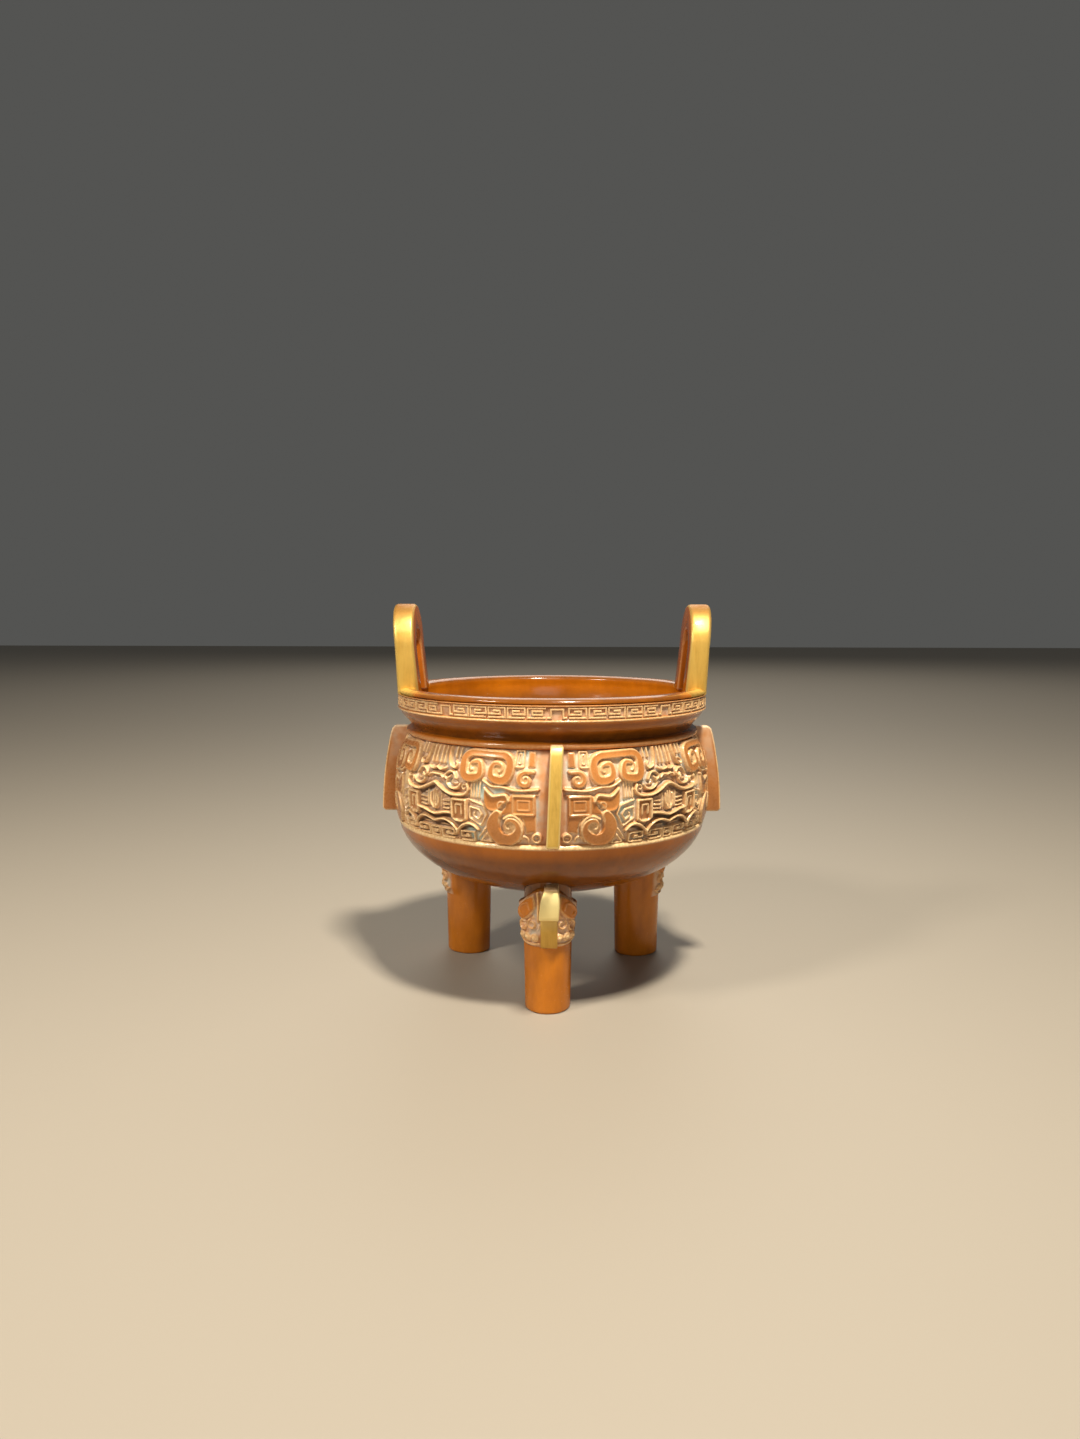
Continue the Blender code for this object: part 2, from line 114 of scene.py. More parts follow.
# %% [markdown]
# ## Glaze effects that several finishes share
#
# A glaze is glass with a little metal in it. It runs off sharp edges and lies thick in hollows, so edges
# come out pale and tan, and broad faces a deep orange brown. In the recesses of this relief lies a pale
# grey green, like the verdigris of an old bronze. Shade is painted into the colour as well: a near black
# brown darkens the narrowest grooves, the creases, the undersides and the inner walls, and the gold gets
# a painted highlight and a painted shade. Each point of a mesh carries four numbers for this: recess,
# ridge, shade and gilding. Node groups turn them into colour, and every finish uses the same groups with
# its own values.

# %% Node helpers
def add_node(tree, kind, **settings):
    """A new node with some of its settings."""
    made = tree.nodes.new(kind)
    for name, value in settings.items():
        setattr(made, name, value)
    return made


def wire(tree, *pairs):
    """Links an output to an input, or sets an input to a plain value."""
    for source, target in pairs:
        if isinstance(source, bpy.types.NodeSocket):
            tree.links.new(source, target)
        else:
            target.default_value = source


def colour_of(red, green, blue):
    """A colour as seen on a screen, 0 to 255, turned into the light values that shaders use."""
    shares = [value / 255 for value in (red, green, blue)]
    return tuple(s / 12.92 if s <= 0.04045 else ((s + 0.055) / 1.055) ** 2.4 for s in shares) + (1.0,)


def new_group(name, inputs, outputs):
    """A shader node group with named sockets. Gives its tree, what goes in and what comes out."""
    tree = bpy.data.node_groups.new(name, "ShaderNodeTree")
    for in_out, sockets in (("INPUT", inputs), ("OUTPUT", outputs)):
        for label, kind, *value in sockets:
            socket = tree.interface.new_socket(label, in_out=in_out, socket_type=f"NodeSocket{kind}")
            if value:
                socket.default_value = value[0]
    return tree, add_node(tree, "NodeGroupInput").outputs, add_node(tree, "NodeGroupOutput").inputs


# %% Noise, ranges, mixes and sums
def add_noise(tree, scale, detail=4.0, rough=0.55, stretch=(1, 1, 1)):
    """Cloudy noise on the piece's own coordinates, stretched if asked."""
    where = add_node(tree, "ShaderNodeTexCoord").outputs["Object"]
    mapping, noise = add_node(tree, "ShaderNodeMapping"), add_node(tree, "ShaderNodeTexNoise")
    wire(tree, (where, mapping.inputs["Vector"]), (stretch, mapping.inputs["Scale"]))
    wire(tree, (mapping.outputs[0], noise.inputs["Vector"]), (scale, noise.inputs["Scale"]))
    wire(tree, (detail, noise.inputs["Detail"]), (rough, noise.inputs["Roughness"]))
    return noise.outputs["Fac"]


def add_range(tree, value, low, high, to_low=0.0, to_high=1.0):
    """Stretches part of a value's range over another one, and clamps it."""
    made = add_node(tree, "ShaderNodeMapRange", clamp=True)
    wire(tree, (value, made.inputs["Value"]), (low, made.inputs["From Min"]), (high, made.inputs["From Max"]))
    wire(tree, (to_low, made.inputs["To Min"]), (to_high, made.inputs["To Max"]))
    return made.outputs[0]


def add_mix(tree, share, one, two, kind="RGBA"):
    """Mixes two colours, or two numbers if the kind is FLOAT."""
    made = add_node(tree, "ShaderNodeMix", data_type=kind)
    wire(tree, (share, made.inputs["Factor"]), (one, made.inputs["A"]), (two, made.inputs["B"]))
    return made.outputs["Result"]


def add_math(tree, operation, one, two):
    """One step of arithmetic."""
    made = add_node(tree, "ShaderNodeMath", operation=operation)
    wire(tree, (one, made.inputs[0]), (two, made.inputs[1]))
    return made.outputs[0]


def add_product(tree, one, two):
    """Two values multiplied."""
    return add_math(tree, "MULTIPLY", one, two)


# %% Colours
BROWN, DEEP_BROWN, TAN = colour_of(192, 108, 14), colour_of(128, 62, 6), colour_of(252, 222, 170)
# The last colour on the next line is painted shade: the near black brown that the shade number mixes in.
PALE, VERDIGRIS, PAINTED_SHADE_BROWN = colour_of(232, 208, 180), colour_of(196, 216, 210), (0.085, 0.029, 0.006, 1.0)
GOLD, WORN_GOLD = colour_of(236, 196, 100), colour_of(178, 132, 46)
# The two golds on the next line are painted light: a painted highlight and a painted shade on the gilding.
BRIGHT_GOLD, DEEP_GOLD = colour_of(255, 236, 168), colour_of(150, 92, 16)
print("the brown glaze as light:", *(round(share, 3) for share in BROWN[:3]))

# %% The glaze colour group
def make_glaze_group():
    """Colour and roughness of the glaze from recess, ridge and shade, streaky as if poured by hand."""
    tree, given, result = new_group(
        "glaze_colour",
        [
            *((label, "Color") for label in ("Body", "Deep", "Thin", "Pale", "Verdigris")),
            *((label, "Float", 0.0) for label in ("Recess", "Ridge", "Shade")),
            ("Streaks", "Float", 1.0), ("Gloss", "Float", 0.15),
        ],
        [("Color", "Color"), ("Roughness", "Float")],
    )
    streaks = add_noise(tree, 70, detail=6, rough=0.65, stretch=(1, 1, 0.35))
    uneven = add_product(tree, add_range(tree, streaks, 0.40, 0.70), given["Streaks"])
    body = add_mix(tree, uneven, given["Body"], given["Deep"])
    clouds = add_range(tree, add_noise(tree, 26, detail=5), 0.45, 0.72, 0.0, 0.5)
    body = add_mix(tree, clouds, body, given["Deep"])
    flecks = add_noise(tree, 900, detail=3)
    thin = add_product(tree, given["Ridge"], add_range(tree, flecks, 0.3, 0.62, 0.55, 1.0))
    body = add_mix(tree, thin, body, given["Thin"])
    green = add_range(tree, add_noise(tree, 95, detail=3), 0.50, 0.64)
    hollow = add_mix(tree, green, given["Pale"], given["Verdigris"])
    stain_and_shade_noise = add_range(tree, add_noise(tree, 210, detail=4), 0.35, 0.56, 0.35, 1.0)
    colour = add_mix(tree, add_product(tree, given["Recess"], stain_and_shade_noise), body, hollow)
    # Painted shade: above 0.45 the Shade number darkens the glaze towards a near black brown, a little
    # unevenly.
    dark = add_range(tree, given["Shade"], 0.45, 1.15)
    dark = add_product(tree, dark, add_range(tree, stain_and_shade_noise, 0.35, 1.0, 0.86, 0.74))
    colour = add_mix(tree, dark, colour, PAINTED_SHADE_BROWN)
    rough = add_math(tree, "ADD", given["Gloss"], add_range(tree, flecks, 0.4, 0.7, 0.0, 0.08))
    rough = add_math(tree, "ADD", rough, add_product(tree, given["Recess"], 0.2))
    wire(tree, (colour, result["Color"]), (rough, result["Roughness"]))
    return tree


# %% The gilding group and the unevenness group
def make_gilding_group():
    """Where gold leaf still covers the glaze, its brushed, slightly worn colour, and its painted highlight
    and shade.
    """
    tree, given, result = new_group(
        "gilding",
        [
            *((label, "Float", 0.0) for label in ("Gilding", "Ridge", "Shade")),
            ("Gold", "Color"), ("Worn", "Color"), ("Wear", "Float", 0.25),
        ],
        [("Mask", "Float"), ("Color", "Color"), ("Roughness", "Float")],
    )
    wobble = add_math(tree, "SUBTRACT", add_noise(tree, 420, detail=4), 0.5)
    mask = add_math(tree, "ADD", given["Gilding"], add_product(tree, wobble, given["Wear"]))
    mask = add_range(tree, mask, 0.42, 0.58)
    brushed = add_noise(tree, 300, detail=5, rough=0.6, stretch=(1, 1, 0.12))
    patches = add_range(tree, add_noise(tree, 60, detail=4), 0.35, 0.65, 0.25, 0.9)
    dull = add_product(tree, add_range(tree, brushed, 0.42, 0.68), patches)
    colour = add_mix(tree, dull, given["Gold"], given["Worn"])
    # Painted highlight: the Ridge number brightens the gold. Painted shade: the Shade number darkens it.
    colour = add_mix(tree, add_product(tree, given["Ridge"], 0.85), colour, BRIGHT_GOLD)
    colour = add_mix(tree, given["Shade"], colour, DEEP_GOLD)
    rough = add_range(tree, brushed, 0.3, 0.7, 0.38, 0.56)
    wire(tree, (mask, result["Mask"]), (colour, result["Color"]), (rough, result["Roughness"]))
    return tree


def make_uneven_group():
    """A height for the Bump node: slow waves left by the hand and the fine peel of a fired glaze."""
    sizes = [("Waves", "Float", 1.0), ("Peel", "Float", 1.0)]
    tree, given, result = new_group("hand_uneven", sizes, [("Height", "Float")])
    waves = add_product(tree, add_noise(tree, 55, detail=2, stretch=(1, 1, 1.8)), given["Waves"])
    peel = add_product(tree, add_noise(tree, 650, detail=2), add_product(tree, given["Peel"], 0.06))
    wire(tree, (add_math(tree, "ADD", waves, peel), result["Height"]))
    return tree


GLAZE_GROUP, GILDING_GROUP, UNEVEN_GROUP = make_glaze_group(), make_gilding_group(), make_uneven_group()
print("node groups:", ", ".join(group.name for group in (GLAZE_GROUP, GILDING_GROUP, UNEVEN_GROUP)))

# %% [markdown]
# ## The finishes
#
# There are four. The brown glaze covers the turned body, smooth and very glossy, and the columns have a
# more orange one. The relief glaze is the same glaze over carving, with pale recesses. The gilt finish is
# the glaze under a coat of gold, which wears through at its borders. The clear coat on the Principled
# shader stands for the glassy surface.

# %% Finishes
GLAZE_COAT, GOLD_COAT, GOLD_METAL = 0.15, 0.05, 0.62


def make_finish(name, body, deep, streaks, gloss, waves, wear):
    """A glaze with gilding over it, both steered by the mesh's own numbers."""
    finish = bpy.data.materials.new(name)
    finish.use_nodes = True
    tree = finish.node_tree
    shader = tree.nodes["Principled BSDF"].inputs
    groups = (GLAZE_GROUP, GILDING_GROUP, UNEVEN_GROUP)
    glaze, gilding, uneven = (add_node(tree, "ShaderNodeGroup", node_tree=group) for group in groups)
    for group, values in (
        (glaze, {"Body": body, "Deep": deep, "Thin": TAN, "Pale": PALE, "Verdigris": VERDIGRIS}),
        (glaze, {"Streaks": streaks, "Gloss": gloss}),
        (gilding, {"Gold": GOLD, "Worn": WORN_GOLD, "Wear": wear}),
        (uneven, {"Waves": waves}),
    ):
        for label, value in values.items():
            group.inputs[label].default_value = value
    both = [glaze, gilding]
    for label, groups in (("recess", [glaze]), ("ridge", both), ("shade", both), ("gilding", [gilding])):
        number = add_node(tree, "ShaderNodeAttribute", attribute_name=label)
        for group in groups:
            wire(tree, (number.outputs["Fac"], group.inputs[label.capitalize()]))
    mask = gilding.outputs["Mask"]
    colour = add_mix(tree, mask, glaze.outputs["Color"], gilding.outputs["Color"])
    rough = add_mix(tree, mask, glaze.outputs["Roughness"], gilding.outputs["Roughness"], "FLOAT")
    wire(tree, (colour, shader["Base Color"]), (rough, shader["Roughness"]))
    wire(tree, (add_product(tree, mask, GOLD_METAL), shader["Metallic"]))
    wire(tree, (add_mix(tree, mask, GLAZE_COAT, GOLD_COAT, "FLOAT"), shader["Coat Weight"]))
    bump = add_node(tree, "ShaderNodeBump")
    wire(tree, (uneven.outputs["Height"], bump.inputs["Height"]), (bump.outputs["Normal"], shader["Normal"]))
    wire(tree, (0.35, bump.inputs["Strength"]), (0.0012, bump.inputs["Distance"]))
    wire(tree, (0.08, shader["Coat Roughness"]), (0.35, shader["Specular IOR Level"]))
    return finish


brown_glaze = make_finish("brown_glaze", BROWN, DEEP_BROWN, streaks=0.45, gloss=0.16, waves=1.0, wear=0.5)
relief_glaze = make_finish(
    "relief_glaze", colour_of(196, 130, 70), colour_of(150, 88, 38),
    streaks=0.6, gloss=0.26, waves=0.3, wear=0.4,
)
column_glaze = make_finish(
    "column_glaze", colour_of(212, 126, 22), colour_of(156, 84, 10),
    streaks=0.6, gloss=0.2, waves=0.6, wear=0.4,
)
gilt_glaze = make_finish(
    "gilt_glaze", colour_of(190, 104, 26), colour_of(136, 64, 12),
    streaks=0.5, gloss=0.2, waves=0.5, wear=0.35,
)
print("finishes:", *(glaze.name for glaze in (brown_glaze, relief_glaze, column_glaze, gilt_glaze)))

# %% [markdown]
# ## From numbers to pieces
#
# Every part is one closed mesh. The helpers below make an object from points and faces, turn its faces
# outwards, write its four surface numbers on its points, and hang it on the vessel's body.

# %% Reading and painting a mesh's points
def soft(value):
    """0 below 0 and 1 above 1, with a smooth slope between."""
    value = np.clip(value, 0, 1)
    return value * value * (3 - 2 * value)


def read_points(found_in, label):
    """A value of three numbers for every point of a mesh, as an array with three columns."""
    found = np.empty(len(found_in) * 3, np.float32)
    found_in.foreach_get(label, found)
    return found.reshape(-1, 3).astype(float)


def points_of(mesh):
    """Where a mesh's points are."""
    return read_points(mesh.vertices, "co")


def normals_of(mesh):
    """The direction that each point of a mesh faces."""
    return read_points(mesh.vertex_normals, "vector")


def paint(mesh, recess=0.0, ridge=0.0, gilding=0.0, shade=0.0):
    """Writes the four surface numbers on a mesh's points."""
    for label, value in (("recess", recess), ("ridge", ridge), ("gilding", gilding), ("shade", shade)):
        layer = mesh.attributes.new(label, "FLOAT", "POINT")
        layer.data.foreach_set("value", np.broadcast_to(value, len(mesh.vertices)).astype(np.float32))


def with_hidden(mesh, field, value=0.0):
    """A field for a mesh's first points, and one value for the hidden points that follow."""
    return np.concatenate([field.ravel(), np.full(len(mesh.vertices) - field.size, value)])


# %% Making a piece
def outward(mesh):
    """Turns all faces of a closed mesh outwards."""
    shape = bmesh.new()
    shape.from_mesh(mesh)
    bmesh.ops.remove_doubles(shape, verts=shape.verts, dist=1e-7)
    bmesh.ops.recalc_face_normals(shape, faces=shape.faces)
    if shape.calc_volume(signed=True) < 0:
        bmesh.ops.reverse_faces(shape, faces=shape.faces)
    shape.to_mesh(mesh)
    shape.free()
    return mesh


def plain_mesh(obj):
    """The object's mesh with its modifiers applied. The object itself goes."""
    graph = bpy.context.evaluated_depsgraph_get()
    mesh = bpy.data.meshes.new_from_object(obj.evaluated_get(graph))
    bpy.data.objects.remove(obj, do_unlink=True)
    return outward(mesh)


def passing(name, data):
    """An object that is needed only until its mesh is taken from it."""
    obj = bpy.data.objects.new(name, data)
    bpy.context.scene.collection.objects.link(obj)
    return obj


def finished(name, mesh, finish, smooth_below=40):
    """Makes a mesh a piece of the vessel."""
    mesh.name = name
    mesh.materials.clear()
    mesh.materials.append(finish)
    mesh.shade_smooth()
    mesh.set_sharp_from_angle(angle=math.radians(smooth_below))
    obj = passing(name, mesh)
    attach(obj, "root")
    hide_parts("ding")
    mesh.calc_loop_triangles()
    print(f"{name}: {len(mesh.loop_triangles)} triangles")
    return obj


# %% [markdown]
# ## The turned body
#
# The bowl, its neck and its rolled lip are round, so a potter throws or moulds them on the wheel. The
# Screw modifier does the same with a profile: it turns the line round the upright axis. The profile runs
# from the middle of the floor up the inside, over the lip, down the outside with its groove, beads and
# border, and back to the middle of the underside.

# %% Curves for profiles
def bent(points, steps=6):
    """A smooth curve through a few points."""
    points = [points[0], *points, points[-1]]
    made = []
    for a, b, c, d in zip(points, points[1:], points[2:], points[3:]):
        for t in np.arange(steps) / steps:
            made.append(tuple(
                0.5 * (2 * q + (r - p) * t
                       + (2 * p - 5 * q + 4 * r - s) * t**2 + (3 * q - p - 3 * r + s) * t**3)
                for p, q, r, s in zip(a, b, c, d)
            ))
    return [*made, points[-1]]


def arc(centre, reach, start, end, steps):
    """Points on part of an ellipse, its turns in degrees."""
    turns = np.radians(np.linspace(start, end, steps))
    return [(centre[0] + reach[0] * math.cos(t), centre[1] + reach[1] * math.sin(t)) for t in turns]


# %% Profile of the body
def inside_profile():
    """From the middle of the floor up to the lip."""
    points = []
    for share in np.linspace(0, 0.975, 20):
        radius, step = share * BORDER_RADIUS, 0.01 * BORDER_RADIUS
        rise = float(bowl_under(radius + step) - bowl_under(abs(radius - step)))
        across = Vector((2 * step, rise)).normalized()
        points.append((max(0.0, radius - WALL * across.y), float(bowl_under(radius)) + WALL * across.x))
    points[0] = (0.0, points[0][1])
    for z in np.linspace(0.0850, 0.1160, 6):
        points.append((float(ground_radius(z)) - WALL, z))
    throat = [(0.0650, 0.1296), (0.0665, 0.1340), (0.0672, 0.1380), (0.0672, 0.1409)]
    neck = [points[-1], (0.0643, 0.1218), (NECK_RADIUS - WALL, 0.1250), *throat]
    crown = arc((RIM_RADIUS - LIP_WIDTH / 2, 0.1414), (LIP_WIDTH / 2, 0.0023), 176, 96, 9)
    return points[:-1] + bent(neck, 4) + crown


def outside_profile():
    """From the lip's crown down to the middle of the underside."""
    points = arc((RIM_RADIUS - LIP_WIDTH / 2, 0.1418), (LIP_WIDTH / 2, 0.0019), 90, -8, 10)
    band = [(0.3, 0.14140), (1.0, 0.14128), (1.0, 0.14102), (0.3, 0.14088), (0.1, 0.14068)]
    band += [(0.1, 0.14046), (0.5, 0.14028), (0.8, 0.14018), (0.9, 0.1375), (0.9, 0.13478)]
    points += [(RIM_RADIUS - inward * MM, z) for inward, z in band]
    points += arc((RIM_RADIUS - 0.0010, 0.1340), (0.0009, 0.0006), 75, -75, 7)
    groove = RIM_RADIUS - 0.0014
    for share in np.linspace(0.06, 0.97, 12):
        inward = (1 - math.cos(math.pi * share)) / 2
        z = BAND_FOOT + (SHOULDER_TOP - BAND_FOOT) * share
        points.append((groove + (NECK_RADIUS - groove) * inward, z))
    points += arc((0.0698, 0.1226), (0.0020, 0.0015), 100, -90, 10)
    for z in np.linspace(0.1206, 0.0810, 9):
        points.append((float(ground_radius(z)) - 0.0013, z))
    points += arc((0.0739, 0.07895), (0.0017, 0.0016), 88, -42, 9)
    for share in np.linspace(0.990, 0.0, 30) ** 0.8:
        points.append((share * BORDER_RADIUS, float(bowl_under(share * BORDER_RADIUS))))
    return points


# %% Turn the body
def turned(name, profile, steps):
    """A closed solid from a profile, with the Screw modifier."""
    mesh = bpy.data.meshes.new(name)
    mesh.from_pydata([(r, 0, z) for r, z in profile], [(i, i + 1) for i in range(len(profile) - 1)], [])
    obj = passing(name, mesh)
    screw = obj.modifiers.new("turn", "SCREW")
    screw.steps = screw.render_steps = steps
    screw.use_merge_vertices = True
    screw.merge_threshold = 1e-6
    return plain_mesh(obj)


# %% Gold on the lip
def lip_gilding(points):
    """Gold that runs from the feet of the handles onto the lip."""
    x, y, z = np.abs(points[:, 0]), np.abs(points[:, 1]), points[:, 2]
    away = np.hypot(np.maximum(0, np.abs(x - 0.0690) - 0.0050), np.maximum(0, np.abs(y - 0.0165) - 0.0045))
    at_foot = soft(1 - away / 0.0042)
    along_lip = soft((np.degrees(np.arctan2(x, y)) - 46) / 22) * soft((np.hypot(x, y) - 0.0712) / 0.0015)
    return np.maximum(at_foot, along_lip) * soft((z - 0.1405) / 0.0006)


# %% The body, painted
# Each bead's height, half its width, the radius it starts at, its fullness and its paleness.
BEADS = (
    (0.0795, 0.0014, 0.0738, 1.2, 1.1),
    (0.1340, 0.0008, 0.0742, 1.0, 0.8),
    (0.1406, 0.0004, 0.0742, 1.0, 0.5),
    (0.1226, 0.0016, 0.0705, 1.0, 0.3),
)


def paint_body(mesh):
    """Pale beads and lip, a pale ground under the fret, and painted shade in the neck, inside, below and on
    the lip's top.
    """
    at = points_of(mesh)
    reach, height = np.hypot(at[:, 0], at[:, 1]), at[:, 2]
    in_band = soft((height - 0.1346) / 0.0003) * soft((0.1403 - height) / 0.0003) * (reach > 0.0735)
    beads = soft((height - 0.1415) / 0.0020) * 0.08
    for middle, half, start, fullness, paleness in BEADS:
        beads += soft(fullness - np.abs(height - middle) / half) * (reach > start) * paleness
    # Painted shade: the glaze is darkened under the bowl, in the neck and its groove, inside, and on the
    # lip's top.
    under_bowl = soft((0.0775 - height) / 0.0060) * (reach > 0.005)
    in_neck = soft((0.1337 - height) / 0.0022) * soft((height - 0.1238) / 0.0010)
    in_neck = in_neck * (reach > NECK_RADIUS - 0.0005)
    in_groove = in_neck * soft((0.1295 - height) / 0.0035)
    inside = soft((0.1400 - height) / 0.0100) * (reach < 0.0675) * (height > 0.0500) * (1 - under_bowl)
    on_lip = soft((height - 0.1410) / 0.0015)
    painted_shade = 0.80 * under_bowl + 0.62 * in_neck + 0.60 * in_groove + 0.95 * inside + 0.95 * on_lip
    gold = lip_gilding(at)
    paint(mesh, in_band * 0.55, np.clip(beads, 0, 1), gold, (0.45 + 0.7 * painted_shade) * (1 - gold))


body_mesh = turned("body", inside_profile() + outside_profile(), 240)
paint_body(body_mesh)
finished("turned_body", body_mesh, brown_glaze)

# %% [markdown]
# ## Drawing the relief
#
# The masks were carved in a mould, which pressed them onto the clay. The same can be done with a height
# for every point of a fine grid. The drawing below covers half a mask, from its flange to its end. One
# unit is about a degree round the belly. Every figure is a line or an outline, and the distance from it
# gives the height: a rounded rib, a flat ribbon with a rim, or a slab. Where figures cross, the higher
# one wins.

# %% The drawing board
class Drawing:
    """A grid of points with the height of the relief over each."""

    def __init__(self, width, height, step):
        columns, rows = round(width / step) + 1, round(height / step) + 1
        self.x, self.y = np.meshgrid(np.linspace(0, width, columns), np.linspace(0, height, rows))
        self.lift, self.pale = np.zeros(self.x.shape), np.zeros(self.x.shape)
        self.room = np.full(self.x.shape, -1e3)

    def measure(self, points):
        """Distance to a line from every grid point, and the share of the way along it."""
        points = np.array(points, float)
        lengths = np.hypot(*np.diff(points, axis=0).T)
        starts = np.concatenate([[0], np.cumsum(lengths)])
        best, share = np.full(self.x.shape, 1e9), np.zeros(self.x.shape)
        for (x0, y0), (x1, y1), length, start in zip(points, points[1:], lengths, starts):
            if length < 1e-9:
                continue
            t = np.clip(((self.x - x0) * (x1 - x0) + (self.y - y0) * (y1 - y0)) / length**2, 0, 1)
            distance = np.hypot(self.x - x0 - t * (x1 - x0), self.y - y0 - t * (y1 - y0))
            closer = distance < best
            best = np.where(closer, distance, best)
            share = np.where(closer, (start + t * length) / starts[-1], share)
        return best, share

    def within(self, outline):
        """Distance to a closed outline, above zero inside it."""
        ring = [*outline, outline[0]]
        inside = np.zeros(self.x.shape, bool)
        for (x0, y0), (x1, y1) in zip(ring, ring[1:]):
            if y0 != y1:
                crosses = (y0 > self.y) != (y1 > self.y)
                inside ^= crosses & (self.x < (x1 - x0) * (self.y - y0) / (y1 - y0) + x0)
        distance = self.measure(ring)[0]
        return np.where(inside, distance, -distance)

    def raise_to(self, lift, room, pale):
        """Adds a figure with its pale lines. The higher one wins."""
        self.pale = np.where(lift > self.lift, pale, self.pale)
        self.lift = np.maximum(self.lift, lift)
        self.room = np.maximum(self.room, room)

    def slab(self, outline, height, edge=0.6, rim=0.0, dish=0.0):
        """A raised shape with rounded edges, a rim inside its outline and a hollowed middle."""
        self.shaped(self.within(outline), height, edge, rim, dish)

    def shaped(self, inside, height, edge, rim, dish):
        """Raises a shape by the distance to its outline, with a pale line along its rim."""
        lift = height * soft(inside / edge)
        lift = lift + rim * np.exp(-(((inside - 0.55) / 0.3) ** 2)) * (inside > 0)
        pale = np.exp(-(((inside - 0.42) / 0.2) ** 2))
        self.raise_to(lift - dish * soft((inside - 0.7) / 0.8), inside, pale)

    def ribbon(self, spine, widths, height, edge=0.6, rim=0.0, dish=0.0):
        """A strip along a line, with widths from end to end or one for each of the line's points."""
        distance, share = self.measure(spine)
        stops = np.linspace(0, 1, len(widths))
        if len(widths) == len(spine):
            stops = np.concatenate([[0], np.cumsum(np.hypot(*np.diff(np.array(spine), axis=0).T))])
            stops = stops / stops[-1]
        self.shaped(np.interp(share, stops, widths) / 2 - distance, height, edge, rim, dish)

    def rib(self, spine, width, height, pale=0.95):
        """A round-topped line."""
        distance = self.measure(spine)[0]
        round_top = np.sqrt(np.clip(1 - (2 * distance / width) ** 2, 0, 1))
        self.raise_to(height * round_top, width / 2 - distance, pale * np.exp(-((distance / 0.45) ** 2)))

    def disc(self, centre, radius, height, pale):
        """A round plate, pale all over, which keeps a roll's groove shallow."""
        inside = radius - np.hypot(self.x - centre[0], self.y - centre[1])
        self.raise_to(height * soft(inside / 0.8), inside, pale)

    def painted_shade(self, lines, width):
        """1 along some lines, for painted shade in deep crescents."""
        return sum(np.exp(-((self.measure(bent(line))[0] / width) ** 2)) for line in lines)

    def echo(self, away, width, height, where):
        """A thin line that follows all the figures so far at a distance, as the old bronzes have."""
        lift = height * np.clip(1 - (2 * (self.room + away) / width) ** 2, 0, 1) * where
        self.pale = np.where(lift > self.lift, 0.7 * lift / height, self.pale)
        self.lift = np.maximum(self.lift, lift)

    def read(self, field, x, y):
        """A field's values between the grid's points."""
        column = np.clip(x / self.x[0, 1], 0, field.shape[1] - 1.001)
        row = np.clip(y / self.y[1, 0], 0, field.shape[0] - 1.001)
        i, j = column.astype(int), row.astype(int)
        u, v = column - i, row - j
        low = field[j, i] * (1 - u) + field[j, i + 1] * u
        high = field[j + 1, i] * (1 - u) + field[j + 1, i + 1] * u
        return low * (1 - v) + high * v


# %% Lines for the drawings
def smoothed(field, passes):
    """A field of numbers as a glaze leaves it, a little melted."""
    for _ in range(passes):
        p = np.pad(field, 1, mode="edge")
        field = (p[:-2, 1:-1] + p[2:, 1:-1] + p[1:-1, :-2] + p[1:-1, 2:] + 4 * field) / 8
    return field


def box_of(x0, y0, x1, y1):
    """The four corners of an upright box."""
    return [(x0, y0), (x1, y0), (x1, y1), (x0, y1)]


def closed(outline):
    """An outline as a line that ends where it starts."""
    return [*outline, outline[0]]


def rolled(centre, stations, steps=60, square=0.0):
    """A roll round a centre, through (turn in degrees, distance) pairs, squared at its corners if asked."""
    turns = np.linspace(stations[0][0], stations[-1][0], steps)
    order = sorted(stations)
    away = np.interp(turns, [turn for turn, _ in order], [distance for _, distance in order])
    turns = np.radians(turns)
    corner = (np.abs(np.cos(turns)) ** 4 + np.abs(np.sin(turns)) ** 4) ** -0.25
    away = away * (1 + square * (corner - 1))
    return list(zip(centre[0] + away * np.cos(turns), centre[1] + away * np.sin(turns)))


def tapered(turns, widths, steps=60):
    """Widths for a roll's points, from those at some of its turns."""
    order = sorted(zip(turns, widths))
    return list(np.interp(np.linspace(turns[0], turns[-1], steps), *zip(*order)))


